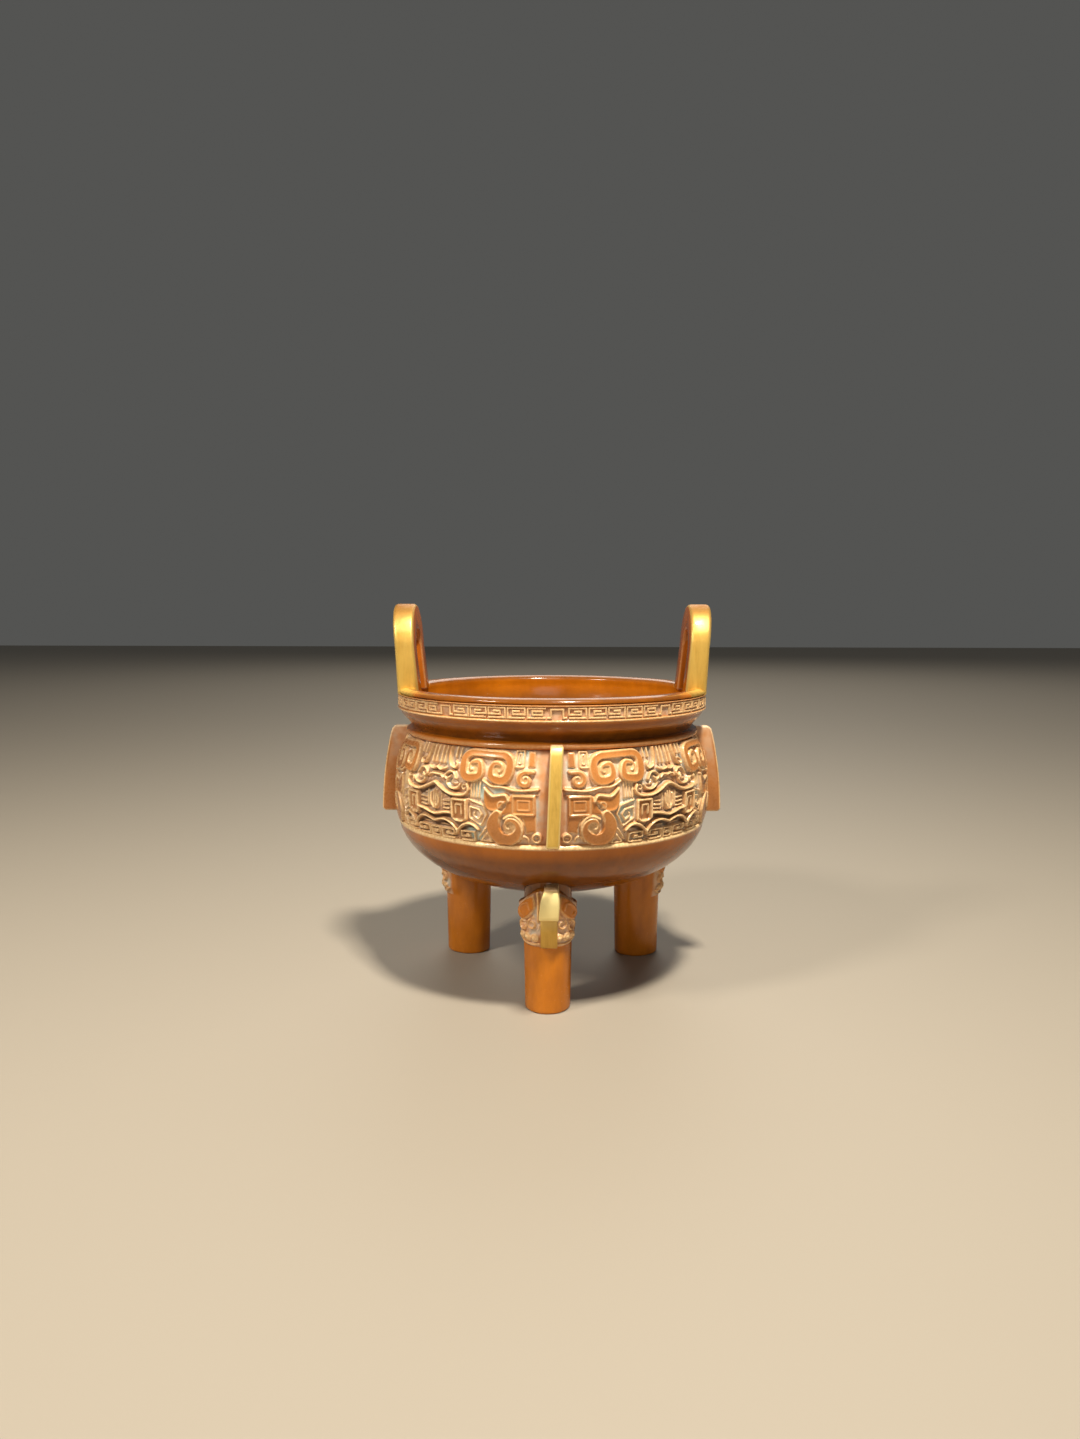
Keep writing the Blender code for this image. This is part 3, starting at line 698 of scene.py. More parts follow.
# %% Horn, nostril and jaw, the rolled figures
def draw_rolls(board):
    """The three figures that roll up: the horn with two volutes, the nostril and the jaw."""
    turns = (104, 180, 270, 360, 450, 540, 610)
    stations = list(zip(turns, (4.75, 4.0, 3.15, 2.55, 1.9, 1.3, 0.6)))
    widths = tapered(turns, (3.1, 3.7, 3.6, 2.7, 2.0, 1.4, 1.0))
    near = rolled((18.0, 24.2), stations, square=0.5)
    far = [(45.3 - x, y) for x, y in rolled((18.3, 24.5), stations, square=0.8)]
    board.disc((18.0, 24.2), 3.3, 1.25, 0.5)
    board.disc((27.0, 24.5), 3.1, 1.25, 0.5)
    board.ribbon(near[::-1] + far, widths[::-1] + widths, 1.9, edge=0.5, rim=0.14, dish=0.05)
    turns = (95, 20, -70, -160, -250, -340)
    nostril = rolled((8.6, 21.4), list(zip(turns, (2.35, 2.0, 1.7, 1.5, 1.1, 0.5))))
    widths = [1.8, *tapered(turns, (2.1, 2.5, 2.4, 1.9, 1.3, 1.0))]
    board.ribbon([(6.0, 23.9), *nostril], widths, 1.75, edge=0.5, rim=0.12, dish=0.05)
    board.disc((8.6, 21.2), 2.2, 1.35, 0.3)
    turns = (45, 0, -45, -90, -135, -180, -270, -330, -420)
    jaw = rolled((13.5, 5.8), list(zip(turns, (5.9, 5.5, 4.8, 3.7, 3.1, 2.8, 2.4, 1.7, 0.6))))
    widths = tapered(turns, (3.4, 6.0, 6.2, 4.9, 3.8, 2.8, 2.1, 1.6, 1.1))
    board.ribbon(jaw, widths, 1.95, edge=0.5, rim=0.14, dish=0.05)
    board.disc((13.7, 5.6), 2.7, 1.15, 0.6)


# %% Face of the mask
def draw_face(board):
    """Brow, ear, eye and snout, on the raised plate of the face."""
    plate = [(4.7, 3.9), (4.7, 17.2), (9, 17.3), (12.9, 17.0), (14.9, 15.2), (15.4, 12.6), (17.2, 10.4)]
    plate += [(16.2, 9.2), (13.5, 9.7), (11.2, 9.5), (9.5, 8.0), (8.8, 5.5), (8.9, 3.2), (6.5, 3.9)]
    board.slab(plate, 0.95, edge=0.8)
    board.slab(box_of(5.2, 24.9, 8.3, 30.4), 0.95, edge=0.7)
    board.rib(bent([(4.4, 18.5), (8, 18.1), (12, 18.0), (16.2, 18.9), (20, 19.0), (23.2, 20.6)]), 1.3, 1.75)
    board.ribbon(bent([(4.6, 16.6), (9, 16.7), (12.6, 16.5)]), (1.0, 0.8), 1.35)
    leaf = [(13.0, 15.0), (14.5, 16.7), (17, 16.5), (19.5, 16.1), (22.6, 18.6), (22.9, 14.5), (21.9, 11.4)]
    leaf += [(19.5, 10.4), (17.3, 11.0), (15.8, 12.6), (14.2, 13.7), (13.0, 15.0)]
    board.slab(bent(leaf), 1.45, rim=0.2, dish=0.25)
    board.rib(bent([(13.8, 14.4), (14.9, 16.3), (17.2, 16.1), (19.6, 15.9), (22.4, 18.3)]), 1.15, 2.05)
    board.ribbon(rolled((16.6, 12.7), [(130, 1.5), (-150, 0.5)], 20), (1.0, 0.9), 2.05)
    board.rib(closed(box_of(5.6, 10.0, 12.4, 16.0)), 1.0, 1.6, 0.35)
    board.rib(closed(box_of(7.1, 11.4, 10.9, 14.6)), 0.7, 1.35, 0.3)
    under_snout = [(10.9, 1.2), (9.5, 4.2), (9.5, 7.0), (11.2, 9.1), (13.4, 9.5), (15.6, 8.4)]
    board.rib(bent(under_snout), 1.0, 1.95)
    board.rib(rolled((4.9, 2.4), [(0, 1.35), (360, 1.35)], 24), 0.9, 1.55)
    board.slab(rolled((4.9, 2.4), [(0, 0.7), (360, 0.7)], 12), 0.9, edge=0.5)
    board.rib(rolled((8.9, 1.8), [(200, 1.3), (20, 0.9)], 12), 0.8, 1.25)


# %% Figures beyond the ear
def draw_outer(board):
    """The dragon-like figure at the mask's outer side, and the fine lines round it."""
    board.rib([(20.2, 0.4), (21.8, 3.1), (24.2, 0.4), (20.2, 0.4)], 0.85, 1.2)
    board.rib([(22.2, 4.8), (24.9, 1.4)], 0.85, 1.15)
    for x in (24.5, 25.5, 26.5, 27.5):
        board.rib([(x, 14.8), (x - 0.2, 20.2)], 0.72, 1.15)
    slanted = [(28.0, 14.0), (22.9, 12.5), (21.5, 9.7), (23.8, 5.6), (27.9, 8.0), (27.7, 11.7)]
    board.rib([*slanted, (24.4, 11.0), (23.4, 9.5), (24.6, 7.6), (26.4, 8.8), (26.0, 9.9)], 0.78, 1.25)
    board.slab(box_of(28.5, 6.6, 35.3, 14.4), 0.7, edge=0.5)
    board.rib([(29.2, 7.4), (29.2, 13.7), (34.7, 13.7), (34.7, 7.6)], 1.2, 1.9)
    board.rib([(31.0, 8.8), (31.0, 12.1), (33.3, 12.1), (33.3, 9.0)], 0.85, 1.6)
    board.rib(bent([(29.4, 7.6), (31.0, 6.5), (33.5, 6.6), (34.9, 7.6)]), 0.95, 1.6)
    brow = [(28.9, 19.0), (28.4, 17.3), (29.3, 15.9), (31.4, 15.2), (35.2, 15.2), (38.4, 16.3)]
    board.rib(bent([*brow, (41.6, 17.9), (43.4, 18.5)]), 1.3, 2.0)
    board.ribbon(rolled((30.2, 17.7), [(150, 1.2), (-120, 0.4)], 16), (1.1, 1.0), 1.85)
    board.rib(bent([(31.9, 18.7), (33.0, 17.3), (35.6, 17.1), (37.6, 18.6), (37.2, 19.6)]), 0.85, 1.5)
    for y in (10.3, 11.6, 12.9):
        board.rib([(36.1, y), (39.0, y - 0.1)], 0.78, 1.25)
    for x in (40.0, 42.6):
        board.rib([(x, 10.4), (x - 0.2, 15.6)], 0.7, 1.2)
    board.rib(bent([(35.4, 9.0), (38.5, 8.8), (43.2, 7.6)]), 1.2, 1.95)
    board.rib(bent([(41.3, 14.8), (41.3, 11.8), (42.6, 9.6)]), 0.85, 1.5)
    wave = [(24.8, 4.2), (26.4, 5.6), (28.4, 6.0), (30.6, 5.2), (32.4, 3.5), (33.4, 2.0)]
    board.rib(bent(wave), 1.25, 2.05)
    board.rib(bent([(33.0, 3.0), (34.6, 4.9), (37.0, 6.2), (39.8, 6.4), (43.2, 5.3)]), 1.25, 2.05)


# %% Key patterns at the foot and in the upper corner
def key_line(x, y, width, height, hand):
    """A square line that winds inwards once and a half."""
    shape = [(0.5, -0.5), (-0.5, -0.5), (-0.5, 0.5), (0.5, 0.5)]
    shape += [(0.5, -0.12), (-0.12, -0.12), (-0.12, 0.14), (0.14, 0.14)]
    return [(x + hand * width * u, y + height * v) for u, v in shape]


def draw_keys(board):
    """Thunder pattern: small square rolls that fill the ground."""
    for x, width, hand in ((28.9, 5.2, 1), (37.3, 5.4, -1), (42.4, 2.6, 1)):
        board.rib(key_line(x, 1.6, width, 2.9, hand), 0.82, 1.75)
    board.rib(closed(box_of(9.5, 25.2, 12.3, 30.2)), 0.68, 1.2)
    board.rib(closed(box_of(10.5, 26.2, 11.3, 29.2)), 0.6, 1.15)
    scroll = bent([(38.2, 30.3), (37.9, 27), (36.9, 24.7), (34.9, 23.7), (34.3, 25.1), (35.5, 25.8)])
    board.ribbon(scroll, (1.8, 1.7, 1.3, 0.9), 1.7, rim=0.15)
    for x in (40.1, 41.9):
        board.ribbon([(x, 25.0), (x + 0.1, 30.3)], (1.15, 1.15), 1.5, edge=0.4)
    for x in (33.6, 35.5):
        board.ribbon([(x, 27.2), (x, 30.3)], (1.1, 1.1), 1.4, edge=0.4)
    curl = [(33.8, 20.2), (35.2, 22.2), (37.2, 22.4), (38.7, 21.1), (37.7, 19.9), (36.7, 20.7)]
    board.rib(bent(curl), 0.95, 1.65)
    board.rib(bent([(39.2, 23.4), (41.2, 22.8), (43.2, 23.5)]), 1.0, 1.7)
    board.rib(bent([(39.6, 20.2), (41.0, 21.2), (43.2, 21.0)]), 1.0, 1.6)


# %% The finished drawing of half a mask
HALF_MASK, MASK_ROWS = 43.0, 30.5
# Deep hollows beside the boldest ribs, where painted shade darkens the glaze.
CRESCENTS = [
    [(25.2, 3.5), (26.6, 4.5), (28.4, 4.8), (30.4, 4.1), (31.8, 2.8)],
    [(34.0, 3.1), (35.2, 4.2), (37.2, 4.9), (39.8, 5.1), (42.6, 4.3)],
    [(35.6, 7.8), (38.5, 7.6), (42.9, 6.4)],
    [(35.8, 14.1), (38.6, 15.1), (41.4, 16.6)],
    [(10.1, 4.4), (10.5, 7.0), (12.4, 8.5)],
]

belly_drawing = Drawing(HALF_MASK, MASK_ROWS, 0.2)
for draw in (draw_rolls, draw_face, draw_outer, draw_keys):
    draw(belly_drawing)
belly_drawing.echo(1.1, 0.6, 0.95, soft((belly_drawing.x - 23) / 1.5))
outer, far_out = soft((belly_drawing.x - 21) / 4), soft((belly_drawing.x - 28) / 4)
belly_lift = smoothed(belly_drawing.lift * (1.18 + 0.14 * outer) - 0.35 - 0.30 * outer, 2)
belly_pale = smoothed(belly_drawing.pale, 1) * (0.90 + 0.10 * outer)
# Painted shade: darker where the relief lies below its surroundings, more so towards the mask's outer side,
# and darkest in the crescents.
belly_shade = np.clip(smoothed(belly_lift, 60) - belly_lift, 0, 2) * (0.20 + 0.95 * far_out)
belly_shade = belly_shade + 1.3 * belly_drawing.painted_shade(CRESCENTS, 0.5) * (belly_lift < 0.9)
print("drawing", belly_lift.shape, "from", round(belly_lift.min(), 2), "to", round(belly_lift.max(), 2), "mm")

# %% [markdown]
# ## Pressing the relief onto the belly
#
# The belly is dressed with four panels, each from one flange to the next. A panel is the drawing once
# and its mirror image, because each mask has two equal halves. The hand never repeats itself quite, so
# every panel's drawing is shifted a little by slow waves from a fixed seed. Each panel gets a back and
# sides, so it is a closed solid that is rooted in the wall. The glaze reads three of its numbers here: low
# ground is a recess, the drawing's pale lines are ridges, and painted shade lies in the narrow hollows and
# the deep crescents beside the boldest ribs.

# %% Waves of the hand, and closed sheets
def slow_waves(rng, shape, cells, size):
    """A smooth random field, made from a few numbers."""
    coarse = rng.uniform(-size, size, cells)
    rows = np.linspace(0, cells[0] - 1, shape[0])[:, None] * np.ones((1, shape[1]))
    columns = np.linspace(0, cells[1] - 1, shape[1])[None, :] * np.ones((shape[0], 1))
    row, column = rows.astype(int), columns.astype(int)
    u, v = soft(columns - column), soft(rows - row)
    i, j = np.minimum(column + 1, cells[1] - 1), np.minimum(row + 1, cells[0] - 1)
    low = coarse[row, column] * (1 - u) + coarse[row, i] * u
    high = coarse[j, column] * (1 - u) + coarse[j, i] * u
    return low * (1 - v) + high * v


def sheet_solid(grid, backs):
    """A closed solid: a grid of points in front, rows of points behind, and all four sides joined up."""
    rows, columns = grid.shape[:2]
    points = np.concatenate([grid.reshape(-1, 3), np.concatenate(backs)])
    row, column = np.meshgrid(np.arange(rows - 1), np.arange(columns - 1), indexing="ij")
    first = (row * columns + column).ravel()
    faces = np.stack([first, first + 1, first + columns + 1, first + columns], 1).tolist()
    rings = [np.arange(columns) + (rows - 1) * columns]
    rings += [rows * columns + k * columns + np.arange(columns) for k in range(len(backs))]
    rings += [np.arange(columns)]
    for one, two in zip(rings, rings[1:]):
        faces += np.stack([one[:-1], one[1:], two[1:], two[:-1]], 1).tolist()
    for edge in (0, columns - 1):
        front = [i * columns + edge for i in range(rows)]
        faces.append(front + [int(ring[edge]) for ring in rings[1:-1]])
    return points, faces


# %% Panels
SIDE_SPAN, HIDDEN_COLUMNS, ROOT = 47.0, 3, 0.0022


def make_panel(quarter):
    """The relief between two flanges. The side masks are a little wider than the front and back ones."""
    rng = np.random.default_rng(11 + quarter)
    spans = (HALF_MASK, SIDE_SPAN) if quarter % 2 == 0 else (SIDE_SPAN, HALF_MASK)
    x = belly_drawing.x[0, HIDDEN_COLUMNS:]
    turns = np.concatenate([x * spans[0] / HALF_MASK, 90 - x[-2::-1] * spans[1] / HALF_MASK])
    across = np.concatenate([x, x[-2::-1]])[None, :] * np.ones((belly_lift.shape[0], 1))
    upward = belly_drawing.y[:, :1] * np.ones((1, len(turns)))
    fade = soft(across / 4) * soft((HALF_MASK - across) / 2)
    shift = [slow_waves(rng, across.shape, (4, 9), 0.22) * fade for _ in range(2)]
    lift, pale, shade = (
        belly_drawing.read(field, across + shift[0], upward + shift[1])
        for field in (belly_lift, belly_pale, belly_shade)
    )
    lift = lift * (1 + slow_waves(rng, lift.shape, (5, 14), 0.05))
    azimuth = np.radians(turns + 90 * quarter)[None, :]
    z = BOWL_TOP + (RELIEF_TOP - BOWL_TOP) * upward / MASK_ROWS
    radius = ground_radius(z) + lift * MM
    grid = np.stack([radius * np.sin(azimuth), -radius * np.cos(azimuth), z], -1)
    backs = []
    for share in (1.0, 0.75, 0.5, 0.25, 0.0):
        level = BOWL_TOP + (RELIEF_TOP - BOWL_TOP) * share
        deep = float(ground_radius(level)) - ROOT
        ring = [deep * np.sin(azimuth[0]), -deep * np.cos(azimuth[0]), np.full(len(turns), level)]
        backs.append(np.stack(ring, 1))
    points, faces = sheet_solid(grid, backs)
    mesh = bpy.data.meshes.new(f"belly_relief_{quarter}")
    mesh.from_pydata(points.tolist(), [], faces)
    recess = (1 - soft((lift + 0.15) / 0.55)) * (0.25 + 0.75 * soft((across - 3.2) / 2.5))
    recess = recess * (1 - 0.35 * soft((across - 28) / 5))
    paint(mesh, with_hidden(mesh, recess), with_hidden(mesh, pale), 0.0, with_hidden(mesh, shade))
    return finished(f"belly_relief_{quarter}", outward(mesh), relief_glaze, 180)


for quarter in range(4):
    make_panel(quarter)

# %% [markdown]
# ## The meander band
#
# A fret runs round the rim, made of small square rolls of a few kinds. It repeats every six units, so it
# is a case for Geometry Nodes: one group of six units is drawn once, already bent to the rim, and the tree
# sets it round the axis nine times. The lines are strips with rounded tops, swept along their corners.

# %% One group of the fret
GROUPS = 9
FRET_FOOT, FRET_TOP, FRET_FLOOR = 0.13495, 0.14010, RIM_RADIUS - 0.0008
FRET_KINDS = {
    "roll": [[
        (0.93, 0.04), (0.07, 0.04), (0.07, 0.96), (0.93, 0.96),
        (0.93, 0.36), (0.33, 0.36), (0.33, 0.66), (0.68, 0.66),
    ]],
    "square": [
        [(0.95, 0.04), (0.07, 0.04), (0.07, 0.96), (0.95, 0.96)],
        [(0.3, 0.34), (0.78, 0.34), (0.78, 0.68), (0.3, 0.68), (0.3, 0.34)],
    ],
    "arch": [[(0.02, 0.06), (0.2, 0.06), (0.2, 0.86), (0.8, 0.86), (0.8, 0.06), (0.98, 0.06)]],
}
FRET_ORDER = (("arch", 1), ("roll", -1), ("roll", 1), ("roll", -1), ("roll", 1), ("square", 1))
UNIT_ANGLE = 2 * math.pi / (len(FRET_ORDER) * GROUPS)


def sweep_strip(shape, line, width, place_point):
    """A strip with a rounded top along a line with corners."""
    half = width / 2
    section = [(-half, -0.30), (-half, 0.30), (-0.55 * half, 0.56)]
    section += [(0.55 * half, 0.56), (half, 0.30), (half, -0.30)]
    rings = []
    for i, here in enumerate(line):
        back, ahead = Vector(line[max(i - 1, 0)]), Vector(line[min(i + 1, len(line) - 1)])
        here = Vector(here)
        came, goes = (here - back).normalized(), (ahead - here).normalized()
        along = (came + goes).normalized()
        normal = Vector((-along.y, along.x))
        stretch = 1 / max(0.6, abs(normal.dot(Vector((-goes.y, goes.x)) if goes.length else normal)))
        ring = [(here + normal * side * stretch, lift) for side, lift in section]
        rings.append([shape.verts.new(place_point(*spot, lift)) for spot, lift in ring])
    for one, two in zip(rings, rings[1:]):
        for k in range(6):
            shape.faces.new((one[k], one[(k + 1) % 6], two[(k + 1) % 6], two[k]))
    shape.faces.new(rings[0][::-1])
    shape.faces.new(rings[-1])


def fret_group():
    """One group of the fret's units, on the rim. The strips are measured in millimetres."""
    unit_width, tall = FRET_FLOOR * UNIT_ANGLE / MM, (FRET_TOP - FRET_FOOT) / MM
    margin, strip_width, first_turn = 0.3, 0.82, 0.03
    shape = bmesh.new()
    for unit, (kind, hand) in enumerate(FRET_ORDER):
        def place_point(s, z, lift):
            turn = s * MM / FRET_FLOOR + unit * UNIT_ANGLE - first_turn
            radius = FRET_FLOOR + lift * MM
            return (radius * math.sin(turn), -radius * math.cos(turn), FRET_FOOT + z * MM)

        for line in FRET_KINDS[kind]:
            turned_line = [(u if hand > 0 else 1 - u, v) for u, v in line]
            corners = [(u * unit_width, margin + v * (tall - 2 * margin)) for u, v in turned_line]
            sweep_strip(shape, corners, strip_width, place_point)
    mesh = bpy.data.meshes.new("fret_group")
    shape.to_mesh(mesh)
    shape.free()
    return outward(mesh)


# %% Geometry Nodes tree for the fret
def repeat_tree():
    """Sets its input round the upright axis a number of times."""
    tree = bpy.data.node_groups.new("repeat_round_rim", "GeometryNodeTree")
    for label, kind in (("Unit", "Geometry"), ("Copies", "Int"), ("Finish", "Material")):
        tree.interface.new_socket(label, in_out="INPUT", socket_type=f"NodeSocket{kind}")
    tree.interface.new_socket("Geometry", in_out="OUTPUT", socket_type="NodeSocketGeometry")
    given, result = add_node(tree, "NodeGroupInput").outputs, add_node(tree, "NodeGroupOutput").inputs
    line = add_node(tree, "GeometryNodeMeshLine")
    wire(tree, ((0, 0, 0), line.inputs["Offset"]), (given["Copies"], line.inputs["Count"]))
    step = add_math(tree, "DIVIDE", 2 * math.pi, given["Copies"])
    turn = add_product(tree, add_node(tree, "GeometryNodeInputIndex").outputs[0], step)
    rotation = add_node(tree, "ShaderNodeCombineXYZ")
    copies = add_node(tree, "GeometryNodeInstanceOnPoints")
    wire(tree, (turn, rotation.inputs["Z"]), (rotation.outputs[0], copies.inputs["Rotation"]))
    wire(tree, (line.outputs["Mesh"], copies.inputs["Points"]), (given["Unit"], copies.inputs["Instance"]))
    real, coat = add_node(tree, "GeometryNodeRealizeInstances"), add_node(tree, "GeometryNodeSetMaterial")
    wire(tree, (copies.outputs[0], real.inputs[0]), (real.outputs[0], coat.inputs["Geometry"]))
    wire(tree, (given["Finish"], coat.inputs["Material"]), (coat.outputs[0], result[0]))
    return tree


def set_inputs(modifier, **values):
    """Sets a Geometry Nodes modifier's inputs by their sockets' identifiers."""
    for item in modifier.node_group.interface.items_tree:
        if item.name in values:
            modifier[item.identifier] = values[item.name]


fret = passing("fret", fret_group())
around = fret.modifiers.new("round the rim", "NODES")
around.node_group = repeat_tree()
set_inputs(around, Copies=GROUPS, Finish=relief_glaze)
fret_mesh = plain_mesh(fret)
paint(fret_mesh, 0.0, 0.68)
finished("meander_band", fret_mesh, relief_glaze, 50)

# %% [markdown]
# ## The handles
#
# Each handle is a loop cut from a slab: a U upside down that leans out a little and thickens upwards. Its
# outline is a flat curve with an extrusion, a Bevel rounds its edges, and every point is then moved by one
# rule for lean and swelling. Gold covers the strip round the outside of the loop. How far a point faces
# away from the hole says where the gold is.

# %% Flat solids
def flat_solid(name, outline, thickness, bevel, segments):
    """A flat outline in X and Z with its thickness along Y and rounded edges."""
    curve = bpy.data.curves.new(name, "CURVE")
    curve.dimensions = "2D"
    curve.fill_mode = "BOTH"
    curve.extrude = thickness / 2
    spline = curve.splines.new("POLY")
    spline.points.add(len(outline) - 1)
    for point, (x, z) in zip(spline.points, outline):
        point.co = (x, z, 0, 1)
    spline.use_cyclic_u = True
    mesh = plain_mesh(passing(name, curve))
    mesh.transform(Matrix.Rotation(math.pi / 2, 4, "X"))
    shape = bmesh.new()
    shape.from_mesh(mesh)
    bmesh.ops.dissolve_limit(shape, angle_limit=0.01, verts=shape.verts, edges=shape.edges)
    shape.to_mesh(mesh)
    shape.free()
    obj = passing(name, mesh)
    rounding = obj.modifiers.new("rounding", "BEVEL")
    rounding.width, rounding.segments = bevel, segments
    rounding.limit_method, rounding.angle_limit = "ANGLE", math.radians(40)
    return plain_mesh(obj)


def moved(mesh, rule):
    """Moves every point by a rule, and keeps the faces facing outwards."""
    mesh.vertices.foreach_set("co", rule(points_of(mesh)).astype(np.float32).ravel())
    mesh.update()
    return outward(mesh)


# %% Loops
HANDLE_HALF, HANDLE_STRIP, HANDLE_THICKNESS = 0.0205, 0.0112, 0.0082
HANDLE_SETBACK, HANDLE_LEAN, HANDLE_SWELL = 0.0031, 0.0021, 0.0022
FLARE, FLARE_HEIGHT, HANDLE_ROUNDING = 0.0011, 0.0022, 0.0014
SPRING = HANDLE_TOP - HANDLE_HALF
HOLE_HALF = HANDLE_HALF - HANDLE_STRIP
HOLE_SPRING = HANDLE_TOP - 1.08 * HANDLE_STRIP - HOLE_HALF
HANDLE_INSIDE = RIM_RADIUS - HANDLE_SETBACK - HANDLE_THICKNESS


def loop_outline():
    """The U: up one leg, over the arch, down the other, and back round the hole."""
    foot = LIP_TOP - 0.0035
    legs = np.linspace(foot, SPRING, 12)[:-1]
    hole_legs = np.linspace(foot, HOLE_SPRING, 10)[:-1]
    outline = [(HANDLE_HALF, z) for z in legs]
    outline += arc((0, SPRING), (HANDLE_HALF, HANDLE_HALF), 0, 180, 40)
    outline += [(-HANDLE_HALF, z) for z in legs[::-1]] + [(-HOLE_HALF, z) for z in hole_legs]
    outline += arc((0, HOLE_SPRING), (HOLE_HALF, HOLE_HALF), 180, 0, 30)
    return outline + [(HOLE_HALF, z) for z in hole_legs[::-1]]


def make_handle(name, side):
    """One leaning loop, on the right for side 1 and on the left for side -1."""
    mesh = flat_solid(name, loop_outline(), HANDLE_THICKNESS, HANDLE_ROUNDING, 4)

    def lean(points):
        """Stands the flat loop on the lip: leaning out, thicker upwards and flared at its feet."""
        share = (points[:, 2] - LIP_TOP) / (HANDLE_TOP - LIP_TOP)
        flare = FLARE * np.exp(-np.maximum(0, points[:, 2] - LIP_TOP) / FLARE_HEIGHT)
        swell = 0.5 + points[:, 1] / HANDLE_THICKNESS
        out = HANDLE_INSIDE + HANDLE_LEAN * share + swell * (HANDLE_THICKNESS + HANDLE_SWELL * share)
        out = out + flare * (2 * swell - 1)
        y = points[:, 0] + np.sign(points[:, 0]) * flare * (np.abs(points[:, 0]) > 0.015)
        return np.stack([side * out, y, points[:, 2]], 1)

    mesh = moved(mesh, lean)
    at, facing = points_of(mesh), normals_of(mesh)
    away = np.stack([np.zeros(len(at)), at[:, 1], np.maximum(0, at[:, 2] - SPRING)], 1)
    away /= np.maximum(np.linalg.norm(away, axis=1, keepdims=True), 1e-6)
    outside = np.abs(at[:, 1]) + np.maximum(0, at[:, 2] - HOLE_SPRING) > HOLE_HALF + 0.004
    gold = soft((np.clip((facing * away).sum(1), 0, 1) * outside - 0.15) / 0.5)
    on_edge, upward = np.abs(facing).max(1) < 0.93, np.clip(facing[:, 2], 0, 1)
    # Ridge turns the rounded edges' glaze tan and their gold into a painted highlight. Shade is painted shade
    # that darkens the upward faces, glaze and gold, against the light from above.
    paint(mesh, 0.0, 0.25 * on_edge, gold, 0.9 * upward)
    return finished(name, mesh, gilt_glaze)


for name, side in (("handle_left", -1), ("handle_right", 1)):
    make_handle(name, side)

# %% [markdown]
# ## The flanges
#
# Four upright fins stand where the mould's parts met, and hide its seams. They are flat outlines with a
# thickness, like the handles. The front one is gilded on its face, with a painted highlight on its rounded
# edges, and leans a little to one side. The others keep their copper brown glaze, thin and pale at the
# edges, and a painted highlight makes their upper part paler.

# %% Flanges
FLANGE_WIDTH, FLANGE_ROUNDING, FLANGE_TOP, FLANGE_FOOT = 0.0058, 0.0009, 0.1237, 0.0809
TOP_REACH, FOOT_REACH, FLANGE_BOW, CORNER = 0.0100, 0.0102, 0.0052, 0.0012


def flange_outline():
    """The fin from the side: bowed in front, its corners cut, and rooted in the wall behind."""
    top_radius = float(ground_radius(FLANGE_TOP)) + TOP_REACH
    foot_radius = float(ground_radius(FLANGE_FOOT)) + FOOT_REACH
    shares = np.linspace(0, 1, 12)
    front = foot_radius + (top_radius - foot_radius) * shares + FLANGE_BOW * shares * (1 - shares)
    outline = [(r, FLANGE_FOOT + (FLANGE_TOP - FLANGE_FOOT) * share) for r, share in zip(front, shares)]
    outline[0] = (outline[0][0], outline[0][1] + CORNER)
    outline[-1] = (top_radius, FLANGE_TOP - CORNER)
    outline = [(foot_radius - CORNER, FLANGE_FOOT), *outline, (top_radius - CORNER, FLANGE_TOP)]
    return outline + [(float(ground_radius(z)) - 0.0025, z) for z in np.linspace(FLANGE_TOP, FLANGE_FOOT, 8)]


def make_flange(quarter):
    """One fin from the shoulder to the border bead."""
    name = f"flange_{('front', 'right', 'back', 'left')[quarter]}"
    gilded = quarter == 0
    mesh = flat_solid(name, flange_outline(), FLANGE_WIDTH, FLANGE_ROUNDING, 3)
    turn = math.pi / 2 * quarter
    cosine, sine = math.cos(turn), math.sin(turn)

    def stand(points):
        """Turns the fin to its side of the belly. The gilded one leans a little."""
        share = (points[:, 2] - FLANGE_FOOT) / (FLANGE_TOP - FLANGE_FOOT)
        x, y = points[:, 1] + (0.0004 + 0.0017 * share if gilded else 0), -points[:, 0]
        return np.stack([x * cosine - y * sine, x * sine + y * cosine, points[:, 2]], 1)

    mesh = moved(mesh, stand)
    at, facing = points_of(mesh), normals_of(mesh)
    out = at * [1, 1, 0] / np.linalg.norm(at[:, :2], axis=1, keepdims=True)
    front_face = np.clip((facing * out).sum(1), 0, 1)
    flatness = np.abs(facing @ np.array([[cosine, -sine], [sine, cosine], [0, 0]])).max(1)
    gold = soft((front_face - 0.2) / 0.5) if gilded else 0.0
    # Painted highlight: the upper part of the plain fins is painted paler. Ridge makes their rounded edges
    # pale thin glaze, and gives the gilt fin's gold a painted highlight.
    painted_top_highlight = 0.0 if gilded else 0.45 * soft((at[:, 2] - 0.1120) / 0.0100)
    paint(mesh, painted_top_highlight, 0.75 * soft((0.96 - flatness) / 0.1), gold)
    return finished(name, mesh, gilt_glaze if gilded else relief_glaze)


for quarter in range(4):
    make_flange(quarter)

# %% [markdown]
# ## The legs
#
# A leg is a plain oval column. Its upper half swells into a beast's head, which looks outwards and carries
# the bowl: on each side of a gilt nose lie an ear, two curls for eye and cheek, and a row of round teeth.
# The leg is a closed grid round the column's axis. The head is a second drawing, one unit to the
# millimetre, that lifts the grid's points.

